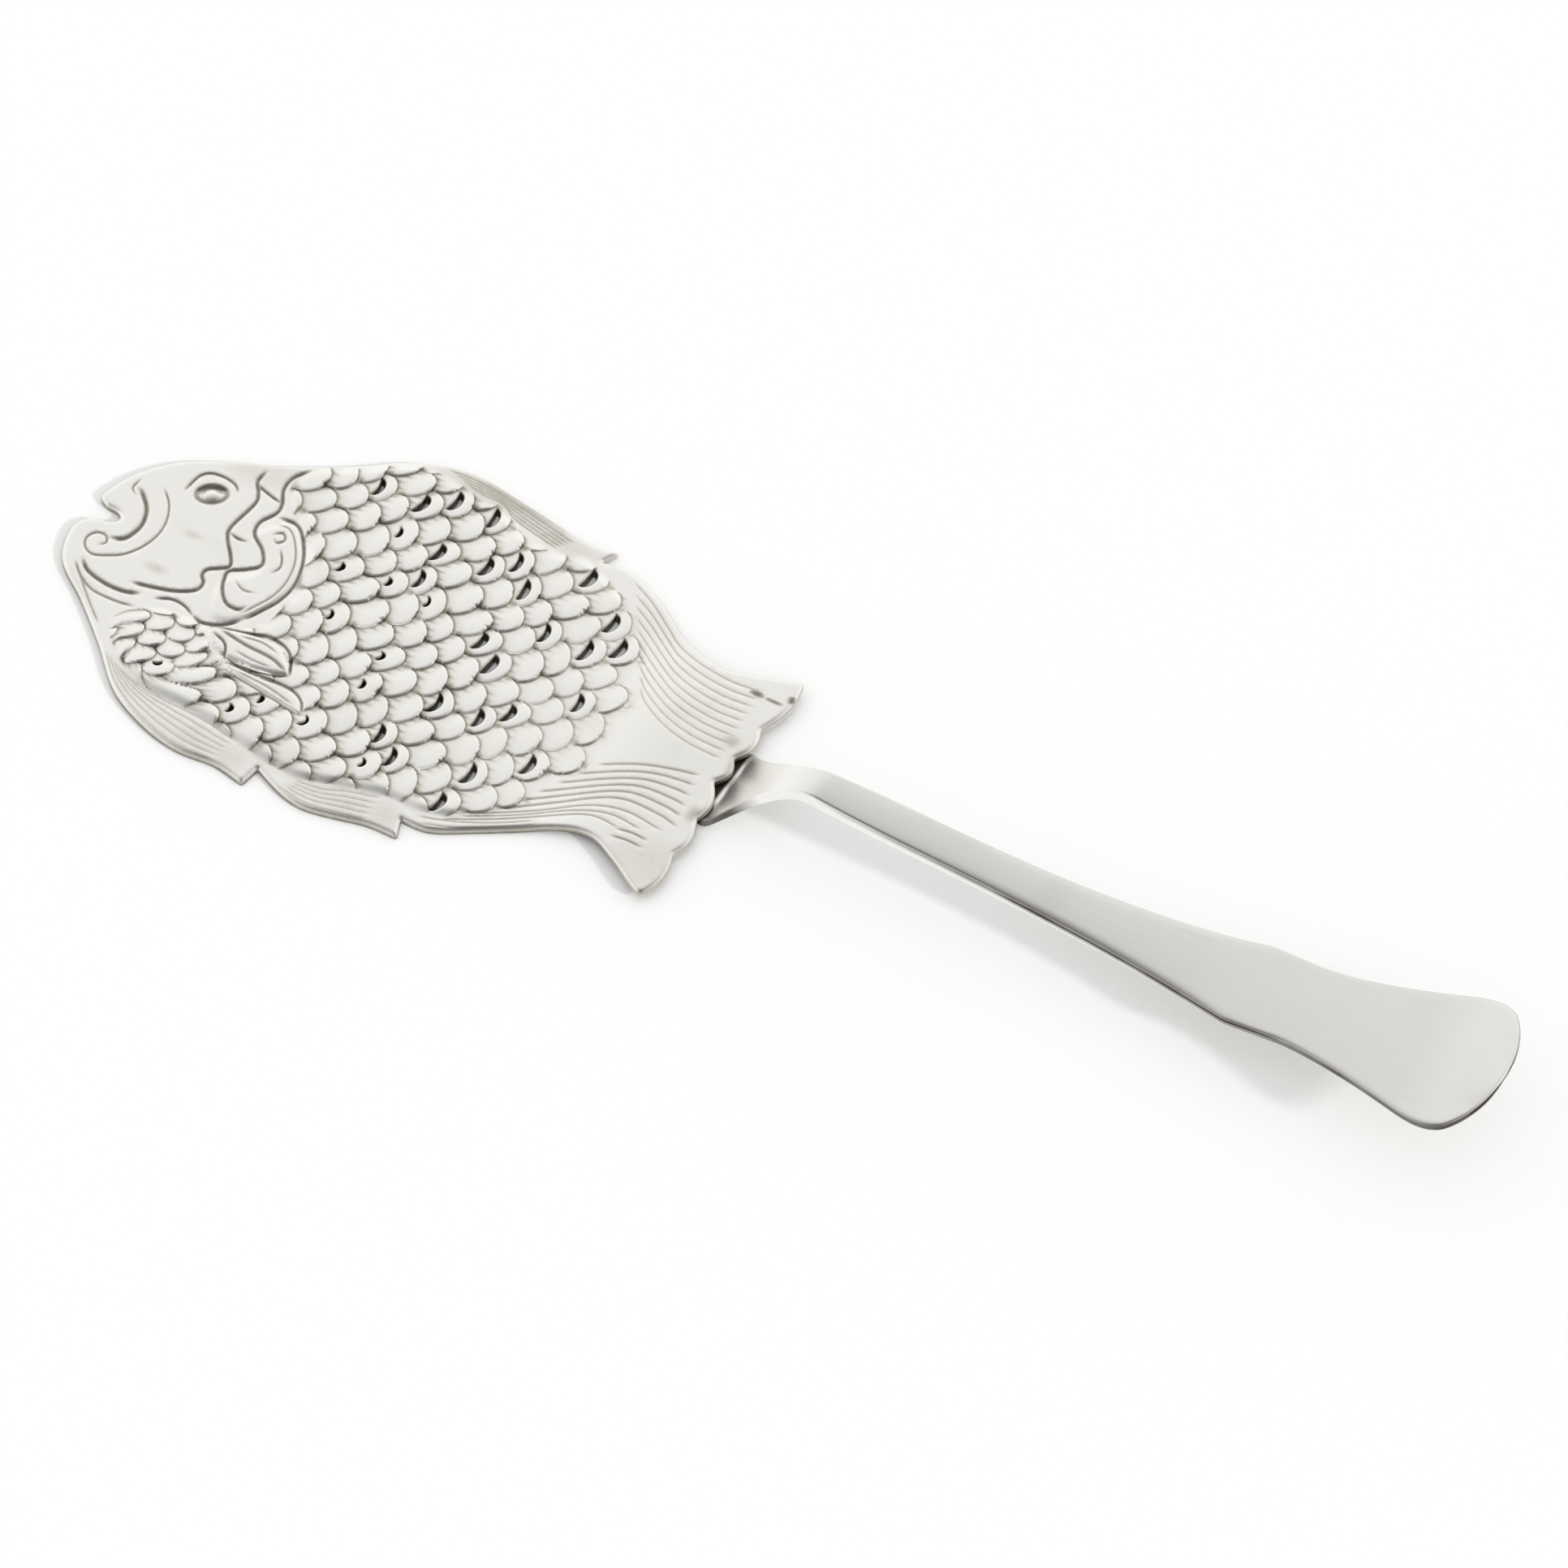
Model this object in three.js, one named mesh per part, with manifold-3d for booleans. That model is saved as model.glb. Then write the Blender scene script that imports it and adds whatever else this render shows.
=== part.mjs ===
// A silver fish server. The blade is a plate sawn to the outline of a fish, pierced between its
// scales and chased, and a forged handle is silver-soldered under the tail by a flat tongue.
// Millimetres, +Z up. The server lies on z = 0 with the fish's nose towards -X, its back towards
// +Y and the handle towards +X. The origin is on the table under the middle of the whole server.

import * as THREE from "three";
import { mergeVertices } from "three/addons/utils/BufferGeometryUtils.js";
import Module from "manifold-3d";

// Blade, measured from the chord of its two tail tips
const BLADE_LENGTH = 142.4; // to the nose
const BACK_HEIGHT = 45.2; // centre line to the top of the dorsal fin
const BELLY_DEPTH = 43.2; // centre line to the lowest fin tip
const PLATE_THICKNESS = 1.4;
const TONGUE_CLEARANCE = 3.5; // tip of the handle's tongue to the step in the plate
const OGEE_RUN = 11; // stretch in which the plate steps up to the level tail
const SCALLOP_DEPTH = 1.4; // how far the rear edge swells between its cusps

// Chased scales, in rows across the fish that overlap like tiles
const SCALE_WIDTH = 8.2;
const ROW_PITCH = 4.65;
const SCALE_BULGE = 3.8; // how far a scale's round edge stands out of its row
const SCALE_STEP = 0.3; // drop from one row's edge to the next row
const SCALE_ROOT = 1.2; // depth to which a row's band is let into the plate
const REAR_ROW = 27; // tail chord to the round edges of the last row

// Piercings, half moons in the root of a scale with their straight side to the head
const PIERCING_CHORD = 5.6;
const PIERCING_DEPTH = 2.3;
const SMALL_PIERCING_CHORD = 2.6;
const SMALL_PIERCING_DEPTH = 1.3;
const PIERCING_SETBACK = 0.5; // straight side to the middle of the scale

// Raised work on the head
const GILL_COVER_RISE = 0.45;
const FIN_LEAF_RISE = 0.5;
const EYE_RADIUS = 2.3;
const EYE_RISE = 0.6;

// Handle, measured along the server from the tail chord
const TONGUE_LAP = 12.5; // length of the tongue under the tail
const TONGUE_THICKNESS = 1.2;
const SOLDER_FILM = 0.3;
const SOLDER_INSET = 1.2; // solder edge to tongue edge
const SOLDER_SETBACK = 3.6; // tail chord to the solder, clear of the deepest cusp
const HANDLE_OFFSET = 1; // centre line of the handle to that of the fish, towards its back
const FOOT_WIDTH = 19.4;
const NECK_WIDTH = 5.8;
const STEM_WIDTH = 7.4;
const KINK_WIDTH = 19.8;
const WAIST_WIDTH = 19.1;
const FLARE_WIDTH = 34.6;
const FOOT_RUN = 17.4; // tongue to the narrow neck
const NECK_RUN = 20.4; // tongue to the shoulder
const NECK_TO_STEM = 22; // narrow neck to the full stem
const SHOULDER_TO_KINK = 89;
const SHOULDER_TO_DIP = 79;
const KINK_TO_WAIST = 11;
const WAIST_TO_FLARE = 33;
const END_ROUNDING = 13.9; // length of the rounded end
const END_PAST_FLARE = 7.9;
const SHOULDER_HEIGHT = 14.4;
const DIP_HEIGHT = 11.1;
const END_HEIGHT = 16;
const SHOULDER_THICKNESS = 3.2;
const KINK_THICKNESS = 2.1;
const END_THICKNESS = 1.7;
const STEM_CAMBER = 0.5; // crown of the top face
const EDGE_SQUARENESS = 7; // 2 is a round section, more is squarer

// Shape laws of the forged handle
const FOOT_SWEEP = 2.6;
const NECK_SWEEP = 1.15;
const STEM_SWEEP = 3.2;
const FLARE_SWEEP = 1.5;
const END_SWEEP = 1.6;
const END_FULLNESS = 3.3;
const TONGUE_FULLNESS = 4;

// Fineness of the facets
const CURVE_STEPS = 3;
const EYE_FACETS = 16;
const SECTION_POINTS = 20;
const HANDLE_STEPS = 64;
const THROUGH = 20; // tall enough to pass through the whole plate

// The fish is drawn in millimetres with the tail chord at x = 0, and each run below is one
// smooth curve between two corners of the outline.
const MOUTH_TOP = [-139.6, 3.1];
const DORSAL_TIP = [-47.6, 41.6];
const DORSAL_NOTCH = [-49.1, 38.1];
const UPPER_LOBE = [0.1, 29.7];
const LOWER_LOBE = [-0.9, -30.7];
const ANAL_NOTCH = [-49.4, -35.9];
const ANAL_TIP = [-47.9, -39.9];
const PELVIC_NOTCH = [-79.2, -38.7];
const PELVIC_TIP = [-80, -43.2];
const LOWER_LIP = [-140.4, -0.8];

const headAndBack = [
  [-141.7, 4.6], [-141.2, 8], [-138.4, 14], [-132.6, 20.2], [-124, 25], [-115.3, 28.7],
  [-103.6, 35.4], [-93.7, 42.2], [-82.5, 45.2], [-67.9, 43.2], [-55, 40.9], DORSAL_TIP,
];
const upperTail = [
  [-43.2, 38.5], [-34.6, 35], [-24.6, 28.2], [-15.9, 25.3], [-9, 26.6], UPPER_LOBE,
];
const rearCusps = [[-1.2, 15.4], [-2.1, 6.8], [-2.5, 0], [-0.9, -9.2], [-0.3, -18.9], LOWER_LOBE];
const lowerTail = [
  [-4.9, -28.5], [-10.1, -25.3], [-16.5, -22.6], [-23.7, -24.2], [-34.8, -30.6], [-43.2, -35.4],
  ANAL_NOTCH,
];
const analFin = [[-54.4, -40], [-60.7, -41.4], [-67.1, -42.5], [-72.6, -41.5], PELVIC_NOTCH];
const bellyAndChin = [
  [-86.7, -41.8], [-95.6, -42.2], [-104.6, -40], [-113.4, -35.5], [-122.1, -27.2], [-130.9, -19.6],
  [-138.1, -14.2], [-141.2, -9.8], [-142.4, -4], LOWER_LIP,
];
const mouth = [[-136.6, 0.2], [-135.6, 1.6], [-136.8, 2.7], MOUTH_TOP];

// The scales end at the gill cover, the fins and the plain part of the tail.
const scaleField = [
  [-110.5, 30.6], [-103, 35], [-94, 40.6], [-85, 40.2], [-75, 37.5], [-65, 34.4], [-55, 34],
  [-47, 34.6], [-38, 28.5], [-31.5, 19], [-27.8, 8], [-28, -5], [-31, -15.5], [-37, -26.5],
  [-46, -32.6], [-55, -33], [-63, -35], [-72, -37.4], [-82, -36.3], [-96, -33.5], [-110, -32.4],
  [-119, -27], [-123.5, -20.5], [-117, -14.5], [-104, -12.5], [-97.5, -8], [-96.8, 1],
  [-99.5, 11], [-106, 17.4], [-111, 23],
];
const gillCover = [
  [-106.5, 16.6], [-101, 12.6], [-97.8, 6], [-97.3, 0], [-98.8, -5.5], [-102.6, -10.6],
  [-106.5, -11.6], [-109, -8.5], [-110.2, -2], [-105.8, 2.5], [-108, 7.5], [-111, 11],
];
const upperLeaf = [[-104, -12.6], [-97, -10.6], [-90.5, -11], [-85.6, -16.6], [-92, -19], [-99, -18]];
const lowerLeaf = [[-99.5, -19.4], [-92, -20], [-84, -20.3], [-79.4, -23.6], [-87, -22.8], [-95, -21.6]];
const EYE = [-123.4, 15.6];

// Each place here pierces the scale that lies nearest to it.
const piercedScales = [
  [-82, 36], [-73.3, 35], [-63.5, 31], [-49.8, 30], [-97, 32.3], [-88.7, 31.3], [-78.3, 27],
  [-68.9, 25.7], [-58, 21.3], [-40.9, 26.3], [-35.9, 21], [-77.3, 16.5], [-49.3, 14.7],
  [-40.3, 12.3], [-57.5, 6.3], [-50.3, 4.3], [-32.2, 3.3], [-42.3, -4.7], [-61.7, -9.3],
  [-50.7, -10.3], [-36, -11.7], [-43, -18], [-65.7, -21.3], [-57.3, -22.7], [-48.7, -28.7],
];
const prickedScales = [
  [-86.3, 21], [-70.9, 10.2], [-83.3, 10], [-93.3, 12.7], [-71.3, -1.7], [-86, -3.3],
  [-73.3, -14.3], [-63.3, -29.5], [-77.3, -26], [-86.7, -26.3], [-94.1, -27.5], [-106.7, -25],
];

const wasm = await Module();
wasm.setup();

// A closed geometry as a solid for joining and cutting.
function solidFrom(geometry) {
  const bare = geometry.clone();
  bare.deleteAttribute("normal");
  bare.deleteAttribute("uv");
  const merged = mergeVertices(bare);
  return new wasm.Manifold(
    new wasm.Mesh({
      numProp: 3,
      vertProperties: merged.attributes.position.array,
      triVerts: new Uint32Array(merged.index.array),
    }),
  );
}

// A finished solid as a geometry for a mesh.
function geometryFrom(solid) {
  const mesh = solid.getMesh();
  const geometry = new THREE.BufferGeometry();
  geometry.setAttribute("position", new THREE.BufferAttribute(mesh.vertProperties, 3));
  geometry.setIndex(new THREE.BufferAttribute(mesh.triVerts, 1));
  const faceted = geometry.toNonIndexed();
  faceted.computeVertexNormals();
  return faceted;
}

function prism(shape, bottom, top) {
  const settings = { depth: top - bottom, bevelEnabled: false, curveSegments: CURVE_STEPS };
  return new THREE.ExtrudeGeometry(shape, settings).translate(0, 0, bottom);
}

// Stretches the drawing to the blade's own length, back and belly.
const drawn = [headAndBack, analFin, bellyAndChin, [PELVIC_TIP]].flat();
const drawnLength = -Math.min(...drawn.map((point) => point[0]));
const drawnBack = Math.max(...drawn.map((point) => point[1]));
const drawnBelly = -Math.min(...drawn.map((point) => point[1]));

function onBlade([x, y]) {
  const across = y > 0 ? BACK_HEIGHT / drawnBack : BELLY_DEPTH / drawnBelly;
  return new THREE.Vector2((x * BLADE_LENGTH) / drawnLength, y * across);
}

function closedShape(points) {
  const corners = points.map(onBlade).map(({ x, y }) => new THREE.Vector3(x, y, 0));
  const curve = new THREE.CatmullRomCurve3(corners, true);
  const smooth = curve.getPoints(corners.length * CURVE_STEPS).slice(0, -1);
  return new THREE.Shape(smooth.map(({ x, y }) => new THREE.Vector2(x, y)));
}

function fishOutline() {
  const shape = new THREE.Shape();
  const start = onBlade(MOUTH_TOP);
  const lineTo = (point) => shape.lineTo(...onBlade(point).toArray());
  const smoothThrough = (points) => shape.splineThru(points.map(onBlade));
  shape.moveTo(start.x, start.y);
  smoothThrough(headAndBack);
  lineTo(DORSAL_NOTCH);
  smoothThrough(upperTail);
  for (const cusp of rearCusps) {
    const from = shape.currentPoint.clone();
    const to = onBlade(cusp);
    const swell = from.clone().add(to).multiplyScalar(0.5);
    shape.quadraticCurveTo(swell.x + 2 * SCALLOP_DEPTH, swell.y, to.x, to.y);
  }
  smoothThrough(lowerTail);
  lineTo(ANAL_TIP);
  smoothThrough(analFin);
  lineTo(PELVIC_TIP);
  smoothThrough(bellyAndChin);
  smoothThrough(mouth);
  return shape;
}

// The plate seen from its side: flat on the table, then an ogee up to the level tail.
const tailLift = TONGUE_THICKNESS + SOLDER_FILM;

function plateSide() {
  const shape = new THREE.Shape();
  const ogeeEnd = -TONGUE_LAP - TONGUE_CLEARANCE;
  const ogeeStart = ogeeEnd - OGEE_RUN;
  const ogeeMiddle = ogeeEnd - OGEE_RUN / 2;
  const front = -BLADE_LENGTH - THROUGH;
  shape.moveTo(front, 0);
  shape.lineTo(ogeeStart, 0);
  shape.bezierCurveTo(ogeeMiddle, 0, ogeeMiddle, tailLift, ogeeEnd, tailLift);
  shape.lineTo(THROUGH, tailLift);
  shape.lineTo(THROUGH, tailLift + PLATE_THICKNESS);
  shape.lineTo(ogeeEnd, tailLift + PLATE_THICKNESS);
  shape.bezierCurveTo(
    ogeeMiddle, tailLift + PLATE_THICKNESS, ogeeMiddle, PLATE_THICKNESS, ogeeStart, PLATE_THICKNESS);
  shape.lineTo(front, PLATE_THICKNESS);
  const width = BACK_HEIGHT + BELLY_DEPTH + 2 * THROUGH;
  const settings = { depth: width, bevelEnabled: false, curveSegments: 2 * CURVE_STEPS };
  const strip = new THREE.ExtrudeGeometry(shape, settings);
  return strip.rotateX(Math.PI / 2).translate(0, BACK_HEIGHT + THROUGH, 0);
}

// Rows of scales count from the tail to the head, and each is staggered by half a scale.
const rowCount = Math.ceil((BLADE_LENGTH - REAR_ROW) / ROW_PITCH);
const columnReach = Math.ceil(Math.max(BACK_HEIGHT, BELLY_DEPTH) / SCALE_WIDTH);

function scaleCentre(row, column) {
  const x = -REAR_ROW - SCALE_BULGE - row * ROW_PITCH;
  return new THREE.Vector2(x, (column + (row % 2) / 2) * SCALE_WIDTH);
}

// One row is a band with a scalloped edge, tilted so that the edge stands proud of the next row.
function scaleRow(row) {
  const bandLength = SCALE_BULGE + 2 * ROW_PITCH;
  const root = scaleCentre(row, 0).x + SCALE_BULGE - bandLength;
  const shape = new THREE.Shape();
  shape.moveTo(0, scaleCentre(row, -columnReach - 0.5).y);
  for (let column = -columnReach; column <= columnReach; column++) {
    const centre = scaleCentre(row, column);
    const quarter = Math.PI / 2;
    shape.absellipse(centre.x - root, centre.y, SCALE_BULGE, SCALE_WIDTH / 2, -quarter, quarter);
  }
  shape.lineTo(0, scaleCentre(row, columnReach + 0.5).y);
  const tilt = Math.atan2(SCALE_STEP, ROW_PITCH);
  return prism(shape, -SCALE_ROOT, 0).rotateY(-tilt).translate(root, 0, PLATE_THICKNESS);
}

function nearestScale(place) {
  const wanted = onBlade(place);
  let best = scaleCentre(0, 0);
  for (let row = 0; row < rowCount; row++) {
    for (let column = -columnReach; column <= columnReach; column++) {
      const centre = scaleCentre(row, column);
      if (centre.distanceTo(wanted) < best.distanceTo(wanted)) best = centre;
    }
  }
  return best;
}

function piercing(place, chord, depth) {
  const centre = nearestScale(place);
  const straight = centre.x - PIERCING_SETBACK;
  const shape = new THREE.Shape();
  shape.moveTo(straight, centre.y - chord / 2);
  shape.quadraticCurveTo(straight + 2 * depth, centre.y, straight, centre.y + chord / 2);
  return prism(shape, -THROUGH, THROUGH);
}

function fishBlade() {
  const plate = solidFrom(prism(fishOutline(), -THROUGH, THROUGH)).intersect(solidFrom(plateSide()));
  let scales = solidFrom(scaleRow(0));
  for (let row = 1; row < rowCount; row++) scales = scales.add(solidFrom(scaleRow(row)));
  const field = prism(closedShape(scaleField), PLATE_THICKNESS / 2, THROUGH);
  let blade = plate.add(scales.intersect(solidFrom(field)));
  const raised = (points, rise) => prism(closedShape(points), PLATE_THICKNESS / 2, PLATE_THICKNESS + rise);
  blade = blade.add(solidFrom(raised(gillCover, GILL_COVER_RISE)));
  const leafRise = FIN_LEAF_RISE + SCALE_STEP;
  blade = blade.add(solidFrom(raised(upperLeaf, leafRise)));
  blade = blade.add(solidFrom(raised(lowerLeaf, leafRise)));
  const eyeHeight = PLATE_THICKNESS / 2 + EYE_RISE;
  const eye = new THREE.CylinderGeometry(EYE_RADIUS - EYE_RISE, EYE_RADIUS, eyeHeight, EYE_FACETS);
  const eyeAt = onBlade(EYE);
  eye.rotateX(Math.PI / 2).translate(eyeAt.x, eyeAt.y, PLATE_THICKNESS / 2 + eyeHeight / 2);
  blade = blade.add(solidFrom(eye));
  for (const place of piercedScales) {
    blade = blade.subtract(solidFrom(piercing(place, PIERCING_CHORD, PIERCING_DEPTH)));
  }
  for (const place of prickedScales) {
    blade = blade.subtract(solidFrom(piercing(place, SMALL_PIERCING_CHORD, SMALL_PIERCING_DEPTH)));
  }
  return geometryFrom(blade);
}

// Places along the handle
const kinkAt = NECK_RUN + SHOULDER_TO_KINK;
const dipAt = NECK_RUN + SHOULDER_TO_DIP;
const waistAt = kinkAt + KINK_TO_WAIST;
const flareAt = waistAt + WAIST_TO_FLARE;
const endAt = flareAt + END_PAST_FLARE;
const share = (x, from, run) => THREE.MathUtils.clamp((x - from) / run, 0, 1);
const roundedEnd = (past, fullness) => Math.sqrt(1 - past ** fullness);

function handleWidth(x) {
  if (x < 0) return FOOT_WIDTH * roundedEnd(share(-x, 0, TONGUE_LAP), TONGUE_FULLNESS);
  const foot = (FOOT_WIDTH - NECK_WIDTH) * (1 - share(x, 0, FOOT_RUN)) ** FOOT_SWEEP;
  const stem = (STEM_WIDTH - NECK_WIDTH) * Math.sin((Math.PI / 2) * share(x, FOOT_RUN, NECK_TO_STEM));
  const spread = (KINK_WIDTH - STEM_WIDTH) * share(x, NECK_RUN, SHOULDER_TO_KINK) ** STEM_SWEEP;
  const waist = (KINK_WIDTH - WAIST_WIDTH) * share(x, kinkAt, KINK_TO_WAIST);
  const flare = (FLARE_WIDTH - WAIST_WIDTH) * share(x, waistAt, WAIST_TO_FLARE) ** FLARE_SWEEP;
  const end = roundedEnd(share(x, endAt - END_ROUNDING, END_ROUNDING), END_FULLNESS);
  return (NECK_WIDTH + foot + stem + spread - waist + flare) * end;
}

function handleTop(x) {
  if (x < 0) return TONGUE_THICKNESS;
  const rise = Math.sin((Math.PI / 2) * share(x, 0, NECK_RUN)) ** NECK_SWEEP;
  const fall = Math.sin((Math.PI / 2) * share(x, NECK_RUN, SHOULDER_TO_DIP));
  const lift = share(x, dipAt, endAt - dipAt) ** END_SWEEP;
  const shoulder = TONGUE_THICKNESS + (SHOULDER_HEIGHT - TONGUE_THICKNESS) * rise;
  return shoulder - (SHOULDER_HEIGHT - DIP_HEIGHT) * fall + (END_HEIGHT - DIP_HEIGHT) * lift;
}

function handleThickness(x) {
  const neck = (SHOULDER_THICKNESS - TONGUE_THICKNESS) * share(x, 0, NECK_RUN);
  const stem = (SHOULDER_THICKNESS - KINK_THICKNESS) * share(x, NECK_RUN, SHOULDER_TO_KINK);
  const flare = (KINK_THICKNESS - END_THICKNESS) * share(x, kinkAt, endAt - kinkAt);
  return TONGUE_THICKNESS + neck - stem - flare;
}

// One cross-section, square to the handle's top line.
function handleSection(x) {
  const reach = 0.5;
  const slope = x < 0 ? 0 : Math.atan2(handleTop(x + reach) - handleTop(Math.max(x - reach, 0)),
    x + reach - Math.max(x - reach, 0));
  const halfWidth = handleWidth(x) / 2;
  const halfThickness = handleThickness(x) / 2;
  const camber = STEM_CAMBER * share(x, 0, NECK_RUN) * (STEM_WIDTH / Math.max(handleWidth(x), STEM_WIDTH));
  const squared = (value) => Math.sign(value) * Math.abs(value) ** (2 / EDGE_SQUARENESS);
  const ring = [];
  for (let i = 0; i < SECTION_POINTS; i++) {
    const angle = (2 * Math.PI * i) / SECTION_POINTS;
    const across = squared(Math.cos(angle));
    const crown = angle < Math.PI ? camber * (1 - across ** 2) : 0;
    const down = halfThickness * (squared(Math.sin(angle)) - 1) + crown - camber;
    ring.push(new THREE.Vector3(
      x - Math.sin(slope) * down, halfWidth * across, handleTop(x) + Math.cos(slope) * down));
  }
  return ring;
}

// A closed skin over a row of sections, with a fan at each end.
function loft(rings) {
  const positions = [];
  const add = (...corners) => corners.forEach((corner) => positions.push(...corner.toArray()));
  for (let r = 0; r + 1 < rings.length; r++) {
    for (let i = 0; i < SECTION_POINTS; i++) {
      const next = (i + 1) % SECTION_POINTS;
      add(rings[r][i], rings[r + 1][next], rings[r + 1][i]);
      add(rings[r][i], rings[r][next], rings[r + 1][next]);
    }
  }
  const first = rings[0];
  const last = rings[rings.length - 1];
  for (let i = 1; i + 1 < SECTION_POINTS; i++) {
    add(first[0], first[i + 1], first[i]);
    add(last[0], last[i], last[i + 1]);
  }
  const geometry = new THREE.BufferGeometry();
  geometry.setAttribute("position", new THREE.Float32BufferAttribute(positions, 3));
  geometry.computeVertexNormals();
  return geometry;
}

// Sections crowd towards both rounded ends.
function handle() {
  const length = endAt + TONGUE_LAP;
  const rings = [];
  for (let i = 0; i <= HANDLE_STEPS; i++) {
    const along = (1 - Math.cos((Math.PI * (i + 0.5)) / (HANDLE_STEPS + 1))) / 2;
    rings.push(handleSection(along * length - TONGUE_LAP));
  }
  return loft(rings);
}

// The film of solder between the tongue and the tail follows the tongue's outline.
function solderSeam() {
  const points = [];
  const front = TONGUE_LAP - SOLDER_INSET;
  const steps = 4 * CURVE_STEPS;
  for (let i = 0; i <= steps; i++) {
    const x = -SOLDER_SETBACK - ((front - SOLDER_SETBACK) * i) / steps;
    points.push(new THREE.Vector2(x, handleWidth(x) / 2 - SOLDER_INSET));
  }
  const mirrored = points.map(({ x, y }) => new THREE.Vector2(x, -y)).reverse();
  const shape = new THREE.Shape([...points, ...mirrored]);
  return prism(shape, TONGUE_THICKNESS, TONGUE_THICKNESS + SOLDER_FILM);
}

const chasedSilver = new THREE.MeshStandardMaterial({ color: 0xe4e2dd, roughness: 0.34, metalness: 1 });
const polishedSilver = new THREE.MeshStandardMaterial({ color: 0xd6d4cf, roughness: 0.22, metalness: 1 });
const dullSolder = new THREE.MeshStandardMaterial({ color: 0x77736b, roughness: 0.6, metalness: 1 });

const server = new THREE.Group();

function addPiece(name, geometry, material) {
  const mesh = new THREE.Mesh(geometry, material);
  mesh.name = name;
  server.add(mesh);
}

addPiece("fish_blade", fishBlade(), chasedSilver);
addPiece("handle", handle().translate(0, HANDLE_OFFSET, 0), polishedSilver);
addPiece("solder_seam", solderSeam().translate(0, HANDLE_OFFSET, 0), dullSolder);

// Centres the server over the origin.
const middle = new THREE.Box3().setFromObject(server).getCenter(new THREE.Vector3());
server.children.forEach((mesh) => mesh.position.set(-middle.x, -middle.y, 0));

export default server;
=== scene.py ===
import math

import bmesh
import bpy
import numpy as np
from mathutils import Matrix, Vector
from mathutils.geometry import delaunay_2d_cdt
from mathutils.kdtree import KDTree


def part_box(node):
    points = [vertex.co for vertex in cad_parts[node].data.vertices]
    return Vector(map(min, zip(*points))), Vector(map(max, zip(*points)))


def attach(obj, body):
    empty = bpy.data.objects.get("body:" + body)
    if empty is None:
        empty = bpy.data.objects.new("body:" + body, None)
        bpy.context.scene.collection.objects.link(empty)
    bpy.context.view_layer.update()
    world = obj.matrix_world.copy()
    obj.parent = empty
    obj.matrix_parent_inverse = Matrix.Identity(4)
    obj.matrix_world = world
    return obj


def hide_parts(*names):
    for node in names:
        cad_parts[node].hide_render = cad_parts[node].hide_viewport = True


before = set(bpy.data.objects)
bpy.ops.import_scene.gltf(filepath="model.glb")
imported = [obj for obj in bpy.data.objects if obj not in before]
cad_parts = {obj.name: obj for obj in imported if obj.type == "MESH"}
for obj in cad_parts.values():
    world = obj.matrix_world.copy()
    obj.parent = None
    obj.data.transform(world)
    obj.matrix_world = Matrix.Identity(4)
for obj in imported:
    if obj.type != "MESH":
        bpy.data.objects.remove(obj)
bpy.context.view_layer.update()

# The view
# The server lies with its nose to the left and its handle's end to the lower right, seen from
# well above through a long lens.
MM = 0.001
VIEW_TURN = math.radians(-60.2)
VIEW_ELEVATION = math.radians(50)
VIEW_DISTANCE = 1.6337
VIEW_CENTRE = Vector((-1.556 * MM, 6.960 * MM, 0))
VIEW_LIMIT = 20
LENS = 200
SENSOR = 36


def toward(turn, elevation):
    """The direction at a turn from the X axis and an elevation."""
    return Vector((
        math.cos(turn) * math.cos(elevation),
        math.sin(turn) * math.cos(elevation),
        math.sin(elevation),
    ))


scene = bpy.context.scene
scene.view_settings.view_transform = "Standard"
toward_camera = toward(VIEW_TURN, VIEW_ELEVATION)
lens = bpy.data.cameras.new("camera")
lens.lens = LENS
lens.sensor_width = SENSOR
lens.clip_end = VIEW_LIMIT
camera = bpy.data.objects.new("camera", lens)
camera.location = VIEW_CENTRE + toward_camera * VIEW_DISTANCE
camera.rotation_euler = toward_camera.to_track_quat("Z", "Y").to_euler()
scene.collection.objects.link(camera)
scene.camera = camera

# The studio
# A white table in a white room. One soft lamp low at the right throws the shadow, and the silver
# doesn't mirror it. What it mirrors is a room that is greyer overhead and nearly black high up on
# the photographer's side.
TABLE_HALF = 3.0
TABLE_DROP = 0.02 * MM
TABLE_COLOUR = (0.97, 0.97, 0.965, 1)
TABLE_ROUGHNESS = 0.9
ROOM_LIGHT = 0.865
KEY_STRENGTH = 1.25
KEY_ELEVATION = math.radians(25)
KEY_TURN = math.radians(-3.8)
KEY_SPREAD = math.radians(6)
CEILING_START = 0.64
CEILING_RUN = 0.42
CEILING_GREY = 0.52
CAMERA_SIDE_COSINE = 0.45
CAMERA_SIDE_GREY = 0.06
CAMERA_SIDE_START = 0.44
CAMERA_SIDE_RUN = 0.24


def joined(operation, swapped=False):
    """A method that joins two values by a math node."""

    def method(self, other):
        pair = [other, self] if swapped else [self, other]
        return self.graph.node("ShaderNodeMath", {"operation": operation}, pair)

    return method


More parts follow.
